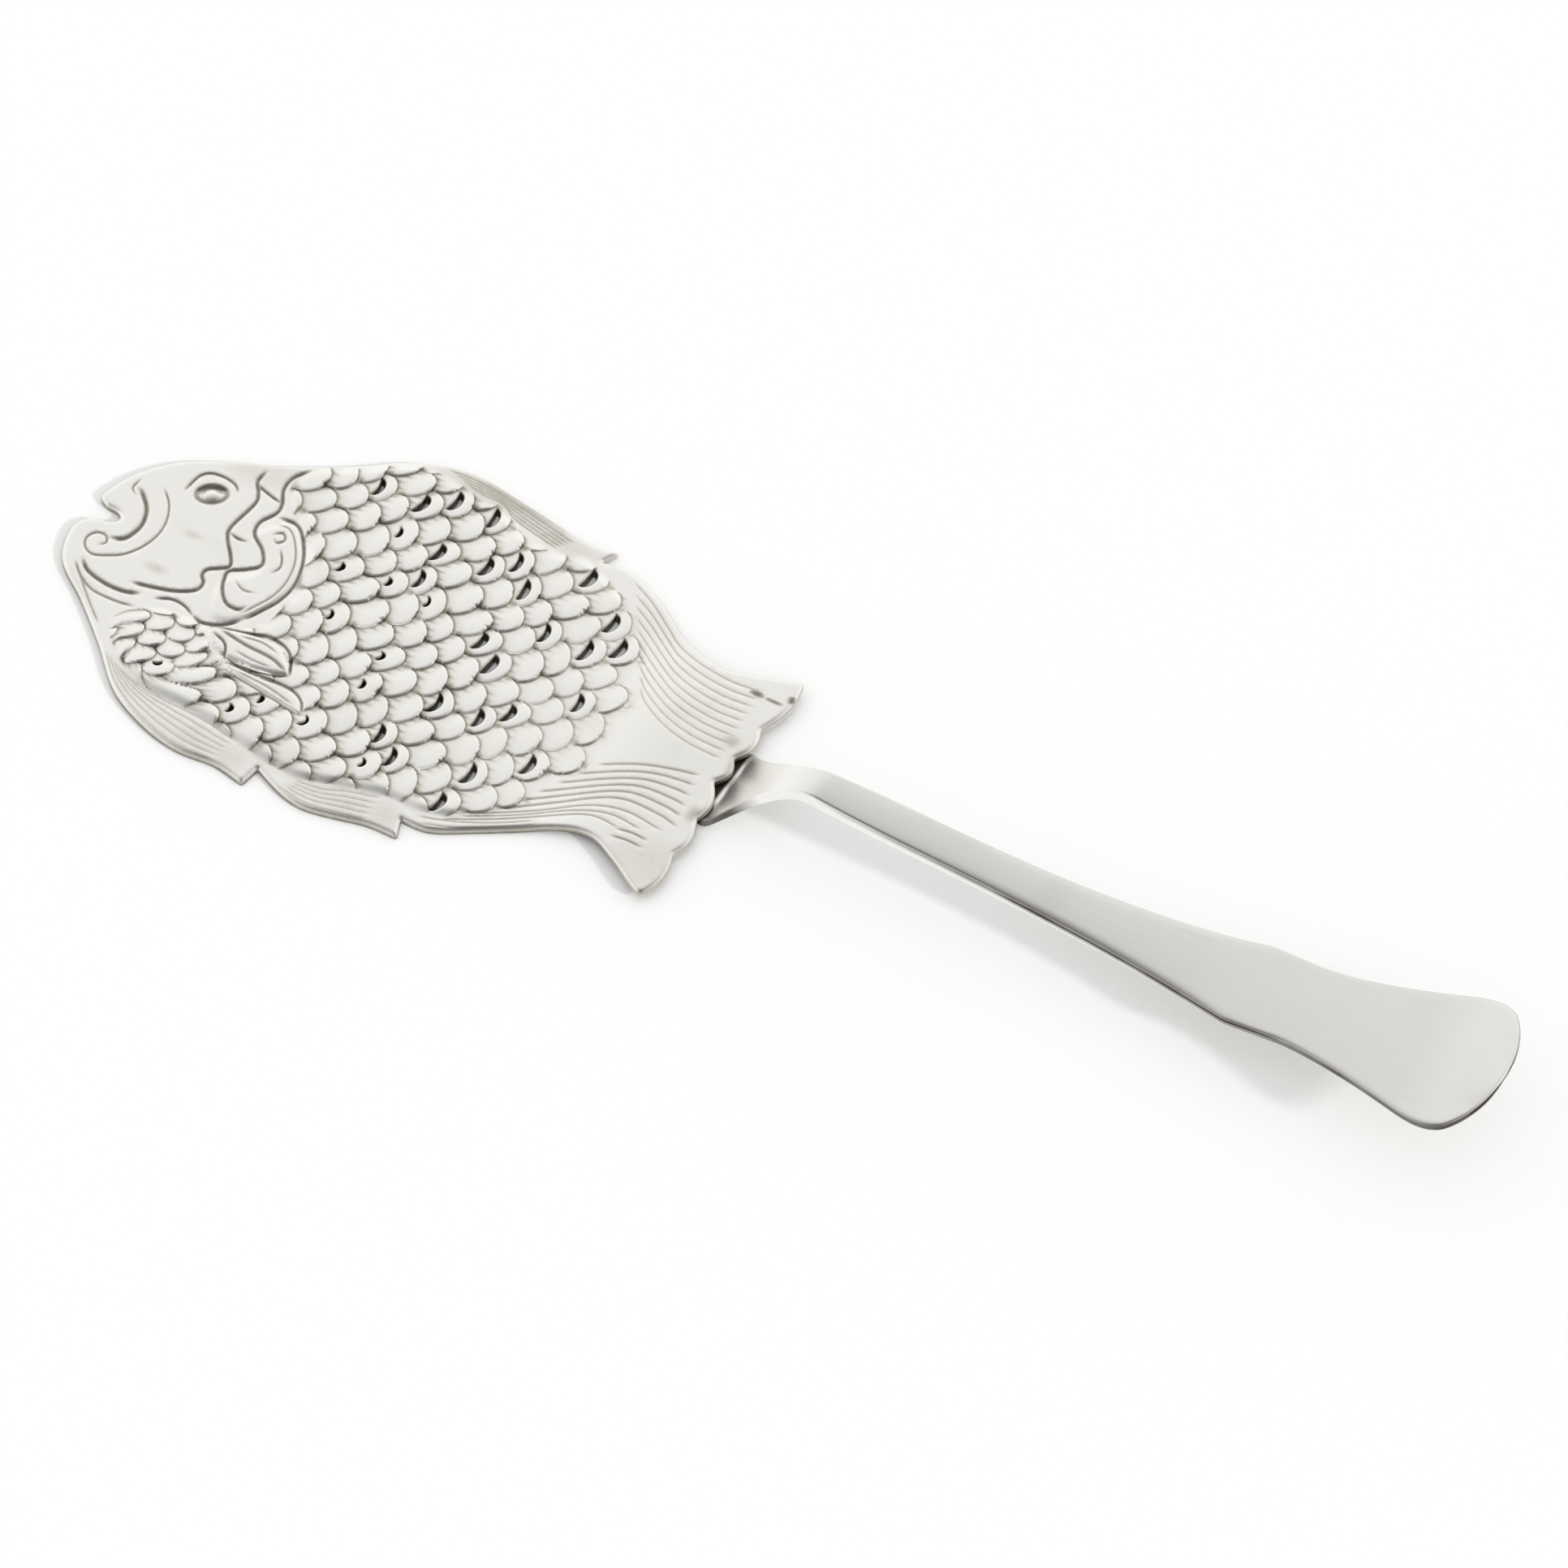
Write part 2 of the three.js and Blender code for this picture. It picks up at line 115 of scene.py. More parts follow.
class Signal:
    """A socket's value, for use in Python expressions."""

    __add__ = __radd__ = joined("ADD")
    __sub__ = joined("SUBTRACT")
    __rsub__ = joined("SUBTRACT", swapped=True)
    __mul__ = __rmul__ = joined("MULTIPLY")
    __truediv__ = joined("DIVIDE")
    __rtruediv__ = joined("DIVIDE", swapped=True)
    __pow__ = joined("POWER")

    def __init__(self, graph, socket):
        self.graph = graph
        self.socket = socket

    def __neg__(self):
        return self * -1

    def math(self, operation, *others):
        """What a math node makes of this value and the others."""
        return self.graph.node("ShaderNodeMath", {"operation": operation}, [self, *others])

    def clamped(self, low=0, high=1):
        return self.math("MAXIMUM", low).math("MINIMUM", high)

    def share(self, start, run):
        """0 up to start, then an even rise to 1 over the run."""
        return ((self - start) / run).clamped()

    def sin(self):
        return self.math("SINE")

    def root(self):
        return self.math("MAXIMUM", 0).math("SQRT")

    def swept(self):
        """The sine of this share of a quarter turn."""
        return (self * (math.pi / 2)).sin()

    def output(self, name):
        return Signal(self.graph, self.socket.node.outputs[name])


class Graph:
    """A node tree that is filled by expressions."""

    def __init__(self, tree):
        self.tree = tree

    def node(self, kind, settings=None, inputs=(), output=0):
        """The output of a new node, whose inputs are signals or constants."""
        node = self.tree.nodes.new(kind)
        for name, value in (settings or {}).items():
            setattr(node, name, value)
        named = inputs.items() if isinstance(inputs, dict) else enumerate(inputs)
        for label, value in named:
            if isinstance(value, Signal):
                self.tree.links.new(value.socket, node.inputs[label])
            else:
                node.inputs[label].default_value = value
        return Signal(self, node.outputs[output] if len(node.outputs) else None)

    def mix(self, factor, first, second):
        """A colour between two colours, by the sockets that the node has for colours."""
        settings = {"data_type": "RGBA", "clamp_factor": True}
        return self.node("ShaderNodeMix", settings, {0: factor, 6: first, 7: second}, 2)

    def noise(self, place, scale, detail):
        """Soft uneven spots from 0 to 1."""
        return self.node("ShaderNodeTexNoise", None, {"Vector": place, "Scale": scale, "Detail": detail})

    def attribute(self, name):
        """A value that the mesh carries on its points."""
        return self.node("ShaderNodeAttribute", {"attribute_name": name}, output="Fac")


def cleared(owner):
    """The owner's node tree as an empty graph."""
    owner.use_nodes = True
    owner.node_tree.nodes.clear()
    return Graph(owner.node_tree)


def material(name, **constants):
    """A new material with its graph, and the inputs of its shader after the constants are set."""
    finish = bpy.data.materials.new(name)
    graph = cleared(finish)
    shader = graph.node("ShaderNodeBsdfPrincipled", None, constants)
    graph.node("ShaderNodeOutputMaterial", None, {"Surface": shader})
    return finish, graph, shader.socket.node.inputs


room = bpy.data.worlds.new("white_room")
scene.world = room
light = cleared(room)
direction = light.node("ShaderNodeTexCoord")
skyward = light.node("ShaderNodeSeparateXYZ", None, [direction], "Z")
overhead = skyward.share(CEILING_START, CEILING_RUN)
ceiling = 1 - overhead * overhead * (3 - 2 * overhead) * (1 - CEILING_GREY)
facing_settings = {"operation": "DOT_PRODUCT"}
facing = light.node("ShaderNodeVectorMath", facing_settings, [direction, toward_camera], "Value")
facing = facing.share(CAMERA_SIDE_COSINE, 1 - CAMERA_SIDE_COSINE).root()
facing = facing * skyward.share(CAMERA_SIDE_START, CAMERA_SIDE_RUN)
mirrored = ceiling * (1 - facing * (1 - CAMERA_SIDE_GREY))
seen = light.node("ShaderNodeLightPath", output="Is Camera Ray")
shiny = seen.output("Is Glossy Ray")
scattered = 1 - (seen + shiny).clamped()
strength = seen + shiny * (1 - seen) * mirrored + scattered * ROOM_LIGHT
glow = light.node("ShaderNodeBackground", None, {"Strength": strength, "Color": (1, 1, 1, 1)})
light.node("ShaderNodeOutputWorld", None, {"Surface": glow})

key = bpy.data.lights.new("key", "SUN")
key.energy = KEY_STRENGTH
key.angle = KEY_SPREAD
lamp = bpy.data.objects.new("key", key)
lamp.rotation_euler = toward(KEY_TURN, KEY_ELEVATION).to_track_quat("Z", "Y").to_euler()
lamp.visible_glossy = False
scene.collection.objects.link(lamp)

table_mesh = bpy.data.meshes.new("table")
sides = [(-1, -1), (1, -1), (1, 1), (-1, 1)]
corners = [(x * TABLE_HALF, y * TABLE_HALF, -TABLE_DROP) for x, y in sides]
table_mesh.from_pydata(corners, [], [(0, 1, 2, 3)])
table = bpy.data.objects.new("table", table_mesh)
scene.collection.objects.link(table)
white = {"Base Color": TABLE_COLOUR, "Roughness": TABLE_ROUGHNESS, "Specular IOR Level": 0.0}
table_mesh.materials.append(material("white_table", **white)[0])

# Handle
# One bar of silver, forged and filed. A flat tongue goes under the fish's tail, the neck sweeps up
# to the shoulder, and the stem widens to two soft kinks and then flares to a rounded end.
blade_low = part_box("fish_blade")[0]
BLADE_LENGTH = 142.4 * MM
BELLY_DEPTH = 43.2 * MM
TAIL_CHORD = blade_low.x + BLADE_LENGTH
CENTRE_LINE = blade_low.y + BELLY_DEPTH

HANDLE_SIZES = {
    "Tongue Lap": 12.5 * MM,
    "Tongue Thickness": 1.2 * MM,
    "Foot Width": 19.4 * MM,
    "Neck Width": 6.7 * MM,
    "Stem Width": 8.2 * MM,
    "Kink Width": 19.8 * MM,
    "Waist Width": 19.1 * MM,
    "Flare Width": 37 * MM,
    "Foot Run": 17.4 * MM,
    "Neck Run": 20.4 * MM,
    "Neck To Stem": 22 * MM,
    "Shoulder To Kink": 89 * MM,
    "Shoulder To Dip": 79 * MM,
    "Kink To Waist": 11 * MM,
    "Waist To Flare": 36 * MM,
    "End Rounding": 17 * MM,
    "End Past Flare": 4.9 * MM,
    "Shoulder Height": 14.4 * MM,
    "Dip Height": 11.1 * MM,
    "End Height": 16 * MM,
    "Shoulder Thickness": 3.2 * MM,
    "Kink Thickness": 2.1 * MM,
    "End Thickness": 1.7 * MM,
    "Edge Radius": 0.45 * MM,
    "Flare Edge Radius": 0.75 * MM,
    "Band Width": 1.7 * MM,
    "Band Drop": 0.34 * MM,
    "Crown": 0.16 * MM,
    "Foot Sweep": 2.2,
    "Neck Sweep": 1.15,
    "Stem Sweep": 3.2,
    "Flare Sweep": 1.5,
    "End Sweep": 1.6,
    "End Fullness": 3.1,
    "Tongue Fullness": 4.0,
    "Tail Chord": TAIL_CHORD,
    "Middle": sum(corner.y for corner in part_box("handle")) / 2,
}
HANDLE_STATIONS = 320
HANDLE_AROUND = 97
SLOPE_REACH = 0.5 * MM
WELD = 0.0002 * MM
CLOSES = 0.9999

# Polish, tarnish and painted shade of the handle
HANDLE_SILVER = (0.930, 0.918, 0.890, 1)
# Painted shade: the top face is greyer than the bright sides, for the darker room that it mirrors
HANDLE_PAINTED_SHADE = (0.765, 0.752, 0.725, 1)
# Tarnish colour, also used for painted shade along the stem's edges and in the gap under the tail
HANDLE_TARNISH_AND_SHADE = (0.060, 0.052, 0.038, 1)
HAIRLINE_STRETCH = (30, 900, 900)
HAIRLINE_BUMP = 0.05
BUMP_HEIGHT = 0.2 * MM
HANDLE_CLOUDS = 55.0
HANDLE_DETAIL = 3.0
HANDLE_SHEEN = 0.24
HANDLE_DULLING = 0.2
CLOUD_SHEEN = 0.08
GRAIN_SHEEN = 0.06
SPOT_START = 0.62
SPOT_RUN = 0.3
SPOT_STAIN = 0.12
# Partly tarnish and partly painted shade on the tongue, under the tail and in the gap at its edge
FOOT_TARNISH_AND_SHADE = 1.9 * MM
FOOT_SHADE_STRAY = 1.8 * MM
FOOT_SHADE_FADE = 0.6 * MM
PAINTED_SHADE_STREAKS = 0.3
PAINTED_SHADE_START = 0.6
PAINTED_SHADE_RUN = 0.5
PAINTED_SHADE_SLANT = 0.12
END_PAINTED_LIGHTENING = 0.4
# Patches that vary the edge tarnish and the painted edge shade
TARNISH_AND_SHADE_PATCHES = 0.35
PATCH_START = 0.35
PATCH_RUN = 0.3
TOP_FACE = 0.8
TOP_FADE = 0.18
WALL_LOW = 0.5
WALL_LOWERING = 0.35
WALL_FADE = 0.2
EDGE_LOW = 0.6
BAND_GROWTH = 0.7


def sized_tree(name, sizes):
    """A new geometry tree with a named input for each size, as its graph, geometry and inputs."""
    tree = bpy.data.node_groups.new(name, "GeometryNodeTree")
    tree.interface.new_socket("Geometry", in_out="INPUT", socket_type="NodeSocketGeometry")
    tree.interface.new_socket("Geometry", in_out="OUTPUT", socket_type="NodeSocketGeometry")
    for label in sizes:
        tree.interface.new_socket(label, in_out="INPUT", socket_type="NodeSocketFloat")
    graph = Graph(tree)
    start = graph.node("NodeGroupInput")
    return graph, start, {label: start.output(label) for label in sizes}


def finished_tree(graph, geometry, finish):
    """Ends a tree in plain faces of one material."""
    geometry = graph.node("GeometryNodeRealizeInstances", None, [geometry])
    geometry = graph.node("GeometryNodeSetMaterial", None, {"Geometry": geometry, "Material": finish})
    graph.node("NodeGroupOutput", None, [geometry])


def made_by_tree(name, tree, sizes, mesh):
    """A plain mesh object that the tree makes from a starting mesh."""
    piece = bpy.data.objects.new(name, mesh)
    scene.collection.objects.link(piece)
    modifier = piece.modifiers.new(tree.name, "NODES")
    modifier.node_group = tree
    for item in tree.interface.items_tree:
        if item.in_out == "INPUT" and item.name in sizes:
            modifier[item.identifier] = sizes[item.name]
    evaluated = piece.evaluated_get(bpy.context.evaluated_depsgraph_get())
    made = bpy.data.meshes.new_from_object(evaluated)
    piece.modifiers.remove(modifier)
    piece.data = made
    return piece


def stored(graph, geometry, amounts):
    """The geometry with each amount kept on its points under a label."""
    for label, amount in amounts.items():
        inputs = {"Geometry": geometry, "Name": label, "Value": amount}
        geometry = graph.node("GeometryNodeStoreNamedAttribute", {"data_type": "FLOAT"}, inputs)
    return geometry


def scratched(graph, relief, strength):
    """The normal of a surface that has fine relief."""
    inputs = {"Strength": strength, "Distance": BUMP_HEIGHT, "Height": relief}
    return graph.node("ShaderNodeBump", None, inputs)


def wired(graph, inputs, signals):
    """Leads each signal to the shader's input of that name."""
    for label, signal in signals.items():
        graph.tree.links.new(signal.socket, inputs[label])


polished, polished_graph, polished_inputs = material("polished_silver", Metallic=1.0)
handle_place = polished_graph.node("ShaderNodeTexCoord", output="Object")
stretch = {"Vector": handle_place, "Scale": HAIRLINE_STRETCH}
along_grain = polished_graph.node("ShaderNodeMapping", None, stretch)
hairlines = polished_graph.noise(along_grain, 1.0, HANDLE_DETAIL)
handle_clouds = polished_graph.noise(handle_place, HANDLE_CLOUDS, HANDLE_DETAIL)
foot_x = polished_graph.node("ShaderNodeSeparateXYZ", None, [handle_place], "X")
# Painted shade: the top face is mixed toward the greyer silver, streaked along the grain
shade_streaks = 1 - PAINTED_SHADE_STREAKS / 2 + hairlines * PAINTED_SHADE_STREAKS
silver = polished_graph.mix(polished_graph.attribute("painted_top_shade") * shade_streaks, HANDLE_SILVER, HANDLE_PAINTED_SHADE)
# Partly tarnish and partly painted shade: the tongue darkens under the tail and in the gap at the tail's
# edge
foot_shade_from = TAIL_CHORD - FOOT_TARNISH_AND_SHADE + handle_clouds * FOOT_SHADE_STRAY
foot_tarnish_and_shade = 1 - foot_x.share(foot_shade_from, FOOT_SHADE_FADE)
# The handle's darkening: tarnish spots, plus painted shade along the edges and under the tail
patches = 1 - TARNISH_AND_SHADE_PATCHES + handle_clouds.share(PATCH_START, PATCH_RUN) * TARNISH_AND_SHADE_PATCHES
handle_spots = handle_clouds.share(SPOT_START, SPOT_RUN) * SPOT_STAIN
handle_dull_and_shade = (foot_tarnish_and_shade + polished_graph.attribute("edge_tarnish_and_shade") * patches + handle_spots).clamped()
handle_sheen = HANDLE_SHEEN + handle_clouds * CLOUD_SHEEN + hairlines * GRAIN_SHEEN
wired(polished_graph, polished_inputs, {
    "Base Color": polished_graph.mix(handle_dull_and_shade, silver, HANDLE_TARNISH_AND_SHADE),
    "Roughness": handle_sheen + handle_dull_and_shade * HANDLE_DULLING,
    "Normal": scratched(polished_graph, hairlines, HAIRLINE_BUMP),
})

graph, _, size = sized_tree("forged_handle", HANDLE_SIZES)
kink_at = size["Neck Run"] + size["Shoulder To Kink"]
dip_at = size["Neck Run"] + size["Shoulder To Dip"]
waist_at = kink_at + size["Kink To Waist"]
flare_at = waist_at + size["Waist To Flare"]
end_at = flare_at + size["End Past Flare"]


def handle_width(x):
    """The full width at a distance from the tail chord."""
    tongue = (1 - (-x).share(0, size["Tongue Lap"] * CLOSES) ** size["Tongue Fullness"]).root()
    foot = size["Foot Width"] - size["Neck Width"]
    foot = foot * (1 - x.share(0, size["Foot Run"])) ** size["Foot Sweep"]
    full = x.share(size["Foot Run"], size["Neck To Stem"]).swept()
    stem = (size["Stem Width"] - size["Neck Width"]) * full
    spread = size["Kink Width"] - size["Stem Width"]
    spread = spread * x.share(size["Neck Run"], size["Shoulder To Kink"]) ** size["Stem Sweep"]
    waist = (size["Kink Width"] - size["Waist Width"]) * x.share(kink_at, size["Kink To Waist"])
    flare = size["Flare Width"] - size["Waist Width"]
    flare = flare * x.share(waist_at, size["Waist To Flare"]) ** size["Flare Sweep"]
    past = x.share(end_at - size["End Rounding"], size["End Rounding"] * CLOSES)
    end = (1 - past ** size["End Fullness"]).root()
    return (size["Neck Width"] + foot + stem + spread - waist + flare) * end * tongue


def handle_top(x):
    """The height of the upper face."""
    rise = x.share(0, size["Neck Run"]).swept() ** size["Neck Sweep"]
    fall = x.share(size["Neck Run"], size["Shoulder To Dip"]).swept()
    lift = x.share(dip_at, end_at - dip_at) ** size["End Sweep"]
    shoulder = size["Tongue Thickness"] + (size["Shoulder Height"] - size["Tongue Thickness"]) * rise
    fallen = (size["Shoulder Height"] - size["Dip Height"]) * fall
    return shoulder - fallen + (size["End Height"] - size["Dip Height"]) * lift


def handle_thickness(x):
    """The thickness of the bar."""
    neck = (size["Shoulder Thickness"] - size["Tongue Thickness"]) * x.share(0, size["Neck Run"])
    stem = size["Shoulder Thickness"] - size["Kink Thickness"]
    stem = stem * x.share(size["Neck Run"], size["Shoulder To Kink"])
    flare = (size["Kink Thickness"] - size["End Thickness"]) * x.share(kink_at, end_at - kink_at)
    return size["Tongue Thickness"] + neck - stem - flare


def zigzag(turn):
    """A wave of straight lines from 1 to -1 and back over each whole turn."""
    return (turn.math("FRACT") - 0.5).math("ABSOLUTE") * 4 - 1


grid_inputs = {"Size X": 1, "Size Y": 1, "Vertices X": HANDLE_STATIONS, "Vertices Y": HANDLE_AROUND}
skin = graph.node("GeometryNodeMeshGrid", None, grid_inputs)
on_grid = graph.node("ShaderNodeSeparateXYZ", None, [graph.node("GeometryNodeInputPosition")])
along = (1 - ((on_grid + 0.5) * math.pi).math("COSINE")) / 2
around = on_grid.output("Y") + 0.5
station = along * (end_at + size["Tongue Lap"]) - size["Tongue Lap"]
half_width = handle_width(station) / 2
near_end = station.share(end_at - size["Edge Radius"], size["Edge Radius"])
tip = size["Edge Radius"] * (1 - (1 - near_end ** 2).root())
half_thickness = handle_thickness(station) / 2 - tip
slope = (handle_top(station + SLOPE_REACH) - handle_top(station - SLOPE_REACH)) / (2 * SLOPE_REACH)
level = 1 / (slope * slope + 1).root()
radius = size["Flare Edge Radius"] - size["Edge Radius"]
radius = size["Edge Radius"] + radius * station.share(kink_at, size["Kink To Waist"])
radius = radius.math("MINIMUM", half_width).math("MINIMUM", half_thickness)
square_across = half_width * (zigzag(around) * 2).clamped(-1, 1).swept()
square_up = half_thickness * (zigzag(around - 0.25) * 2).clamped(-1, 1).swept()
inner_across = square_across.clamped(radius - half_width, half_width - radius)
inner_up = square_up.clamped(radius - half_thickness, half_thickness - radius)
out_across = square_across - inner_across
out_up = square_up - inner_up
out = (out_across * out_across + out_up * out_up).root().math("MAXIMUM", WELD)
across = inner_across + out_across * radius / out
up = inner_up + out_up * radius / out
from_edge = half_width - across.math("ABSOLUTE")
band = (1 - from_edge.share(0, size["Band Width"])) ** 2 * size["Band Drop"]
band_end = station.share(kink_at - size["Kink To Waist"] / 2, size["Kink To Waist"])
band_start = station.share(size["Neck Run"] / 2, size["Shoulder To Kink"] * BAND_GROWTH)
band = band * band_start ** 2 * (1 - band_end)
crown = size["Crown"] * station.share(0, size["Neck Run"])
crown = crown * (across / half_width.math("MAXIMUM", WELD)) ** 2
top_share = (up + half_thickness) / (half_thickness * 2)
down = up - half_thickness - (band + crown) * top_share
forged_place = graph.node("ShaderNodeCombineXYZ", None, [
    station - slope * level * down + size["Tail Chord"],
    across + size["Middle"],
    handle_top(station) - tip + level * down,
])
# Painted shade on the top face from the neck on. Past a slanting line near the end it is painted lighter
# again, as a painted reflection
painted_top_shade = top_share.share(TOP_FACE, 1 - TOP_FACE)
painted_top_shade = painted_top_shade * station.share(size["Neck Run"] * PAINTED_SHADE_START, size["Neck Run"] * PAINTED_SHADE_RUN)
painted_lightening_from = end_at - size["End Rounding"] - across * PAINTED_SHADE_SLANT
painted_top_shade = painted_top_shade * (1 - END_PAINTED_LIGHTENING * station.share(painted_lightening_from, size["End Rounding"] / 2))
toward_kink = station.share(size["Neck Run"], size["Shoulder To Kink"])
# Painted shade: the upper side wall darkens toward the kink, and a dark line runs along the top's near edge
# on the stem, for the dark room that the rounded edge mirrors
painted_wall_shade = top_share.share(WALL_LOW - toward_kink * WALL_LOWERING, WALL_FADE)
painted_wall_shade = painted_wall_shade * (1 - top_share.share(TOP_FACE, TOP_FADE)) * toward_kink
near_edge = (-across).share(half_width - size["Band Width"] / 2, size["Band Width"] / 2)
on_stem = toward_kink * (1 - station.share(kink_at, size["Kink To Waist"]))
on_foot = 1 - station.share(size["Foot Run"] / 4, size["Foot Run"] / 4)
painted_edge_line = near_edge * near_edge * top_share.share(EDGE_LOW, WALL_FADE) * on_stem.root()
# The edge attribute holds painted shade on the wall and the stem's near edge, and real tarnish along the
# foot's near edge
skin = stored(graph, skin, {"painted_top_shade": painted_top_shade, "edge_tarnish_and_shade": painted_wall_shade + painted_edge_line + near_edge * on_foot})
skin = graph.node("GeometryNodeSetPosition", None, {"Geometry": skin, "Position": forged_place})
skin = graph.node("GeometryNodeMergeByDistance", None, {"Geometry": skin, "Distance": WELD})
skin = graph.node("GeometryNodeFlipFaces", None, [skin])
skin = graph.node("GeometryNodeSetShadeSmooth", None, [skin])
finished_tree(graph, skin, polished)
handle = made_by_tree("forged_handle", graph.tree, HANDLE_SIZES, bpy.data.meshes.new("bar"))
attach(handle, "root")
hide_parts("handle")

# Solder
# The film of silver solder that holds the tail on the tongue. It lies back from the tail's edge,
# and tarnish has turned it nearly black.
SOLDER_DARK = (0.05, 0.045, 0.038, 1)
SOLDER_LIGHT = (0.16, 0.15, 0.13, 1)
SOLDER_SHEEN = 0.45
SOLDER_SHEEN_SPREAD = 0.3
GRAIN = 900.0
GRAIN_DETAIL = 4.0

solder_finish, solder_graph, solder_inputs = material("dull_solder", Metallic=1.0)
solder_place = solder_graph.node("ShaderNodeTexCoord", output="Object")
solder_grain = solder_graph.noise(solder_place, GRAIN, GRAIN_DETAIL)
wired(solder_graph, solder_inputs, {
    "Base Color": solder_graph.mix(solder_grain, SOLDER_DARK, SOLDER_LIGHT),
    "Roughness": SOLDER_SHEEN + solder_grain * SOLDER_SHEEN_SPREAD,
})
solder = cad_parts["solder_seam"]
solder.data.materials.clear()
solder.data.materials.append(solder_finish)

# Fish blade
# One plate of silver, sawn to the outline of a fish and stepped up at the tail over the tongue. Its
# scales are punched in rows, some are pierced, and the rest is chased with lines. It is drawn in
# millimetres from the middle of the tail chord.
PLATE = 1.4
TAIL_LIFT = 1.5
OGEE_START = -36.0
OGEE_END = -12.5
OGEE_POINTS = 41
SPAN_POINTS = 12
OUTLINE_STEP = 0.42
FACING_DOWN = -0.5
STRAIGHT_BEND = math.radians(0.4)
CORNER_BEND = math.radians(31)
TIP_BEND = math.radians(55)
TAIL_TIP_STEPS = 4
FIN_TIP_STEPS = 2
EDGE_ROLL = 1.0
EDGE_DROP = 0.5
EDGE_FULLNESS = 2.5
# Tarnish and painted shade along the outline's rim and around the piercings
RIM_SHADE_WIDTH = 0.25
RIM_SHADE_PLACES = (-12, -4)
RIM_TARNISH_AND_SHADE = (0.3, 0.4)
PIERCING_ROLL = 0.5
PIERCING_DROP = 0.28
PIERCING_TARNISH_AND_SHADE = 0.85
PIERCING_SIZE = 0.86
PIERCING_TAPER = 0.78
PIERCING_POINTS = 15
PIERCING_BOW = (0.05, 0.6)
PIERCING_SEED = 11
FILL_STEP = 0.72
# The underside's tarnish and painted shade, less dark at the tail's rear and its upper lobe
UNDERSIDE_STEP = 3.0
UNDERSIDE_TARNISH_AND_SHADE = 0.85
WALL_LIGHTER_ALONG = (-14, -5)
WALL_LIGHTER_ACROSS = (10, 25)
WALL_LIGHTENING = (1, 0.3)
LINE_STEP = 0.3
LINE_TAPER = 2.0
LINE_END = 0.2
LINE_TARNISH = 0.85
LINE_FAINT = 0.1
LINE_DARKENING = 4.5
FAN_POINTS = 80

# Polish, tarnish and painted shade of the blade
BLADE_SILVER = (0.960, 0.946, 0.906, 1)
BLADE_YELLOWED = (0.720, 0.685, 0.600, 1)
# Tarnish colour, also used for painted shade at the rims, walls and scale roots
BLADE_TARNISH_AND_SHADE = (0.110, 0.100, 0.082, 1)
YELLOWED_AT = 0.35
DARKENED_FROM = 0.15
BLADE_CLOUDS = 60.0
BLADE_SPOT_START = 0.56
BLADE_SHEEN = 0.30
BLADE_DULLING = 0.15
GRAIN_STAIN = 0.5
PITTING = 0.06
STROKE_TURNS = 15.0
STROKE_WANDER = 9.0
STROKE_STAIN = 0.2
STROKE_FULL = 0.8

SCALES = {
    "Scale Width": 8.2,
    "Row Pitch": 4.65,
    "Scale Bulge": 3.8,
    "Rear Row": 27.0,
    "Root Height": -0.02,
    "Step": 0.34,
    "Dome": 0.18,
    "Lip": 0.12,
    "Lip Width": 0.5,
    "Groove": 0.10,
    "Groove Width": 0.45,
    "Unevenness": 0.12,
    # Tarnish and painted shade of the scales: in the groove past each edge, over each root and where scales
    # meet
    "Line Tarnish And Shade": 0.54,
    "Line Width": 0.5,
    "Root Painted Shade": 0.26,
    "Root Reach": 2.8,
    "Corner Tarnish And Shade": 0.62,
    "Corner Reach": 2.6,
    "End Reach": 1.5,
    "Tarnish And Shade Fall": 1.5,
    "Stroke Start": 0.4,
    "Stroke Run": 1.8,
    "Stroke Chance": -0.03,
    "Rear Middle": 24.0,
    "Rear Curve": 0.0178,
    "Seed": 7,
    "Tail Chord": TAIL_CHORD,
    "Centre Line": CENTRE_LINE,
}
SCALE_ROWS = range(24)
SCALE_COLUMNS = range(-7, 7)
SCALE_POINTS = 31
SCALE_ROW_CODE = 97
CORNER_NARROWING = 16


def smooth(points, step, closed=False):
    """A curve through the points, cut into equal steps."""
    points = np.asarray(points, float)
    if closed:
        spread = np.vstack([points[-1], points, points[:2]])
    else:
        spread = np.vstack([2 * points[0] - points[1], points, 2 * points[-1] - points[-2]])
    before, first, second, after = (spread[i:len(spread) - 3 + i, None] for i in range(4))
    share = np.linspace(0, 1, SPAN_POINTS, endpoint=False)[None, :, None]
    curve = first + (second - before) * share / 2
    curve = curve + (before - 2.5 * first + 2 * second - after / 2) * share ** 2
    curve = curve + (1.5 * first - before / 2 - 1.5 * second + after / 2) * share ** 3
    curve = np.vstack([curve.reshape(-1, 2), points[0] if closed else points[-1]])
    reach = np.concatenate([[0], np.cumsum(np.linalg.norm(np.diff(curve, axis=0), axis=1))])
    count = max(2, round(reach[-1] / step) + 1)
    places = np.linspace(0, reach[-1], count)
    even = np.column_stack([np.interp(places, reach, curve[:, i]) for i in (0, 1)])
    return even[:-1] if closed else even


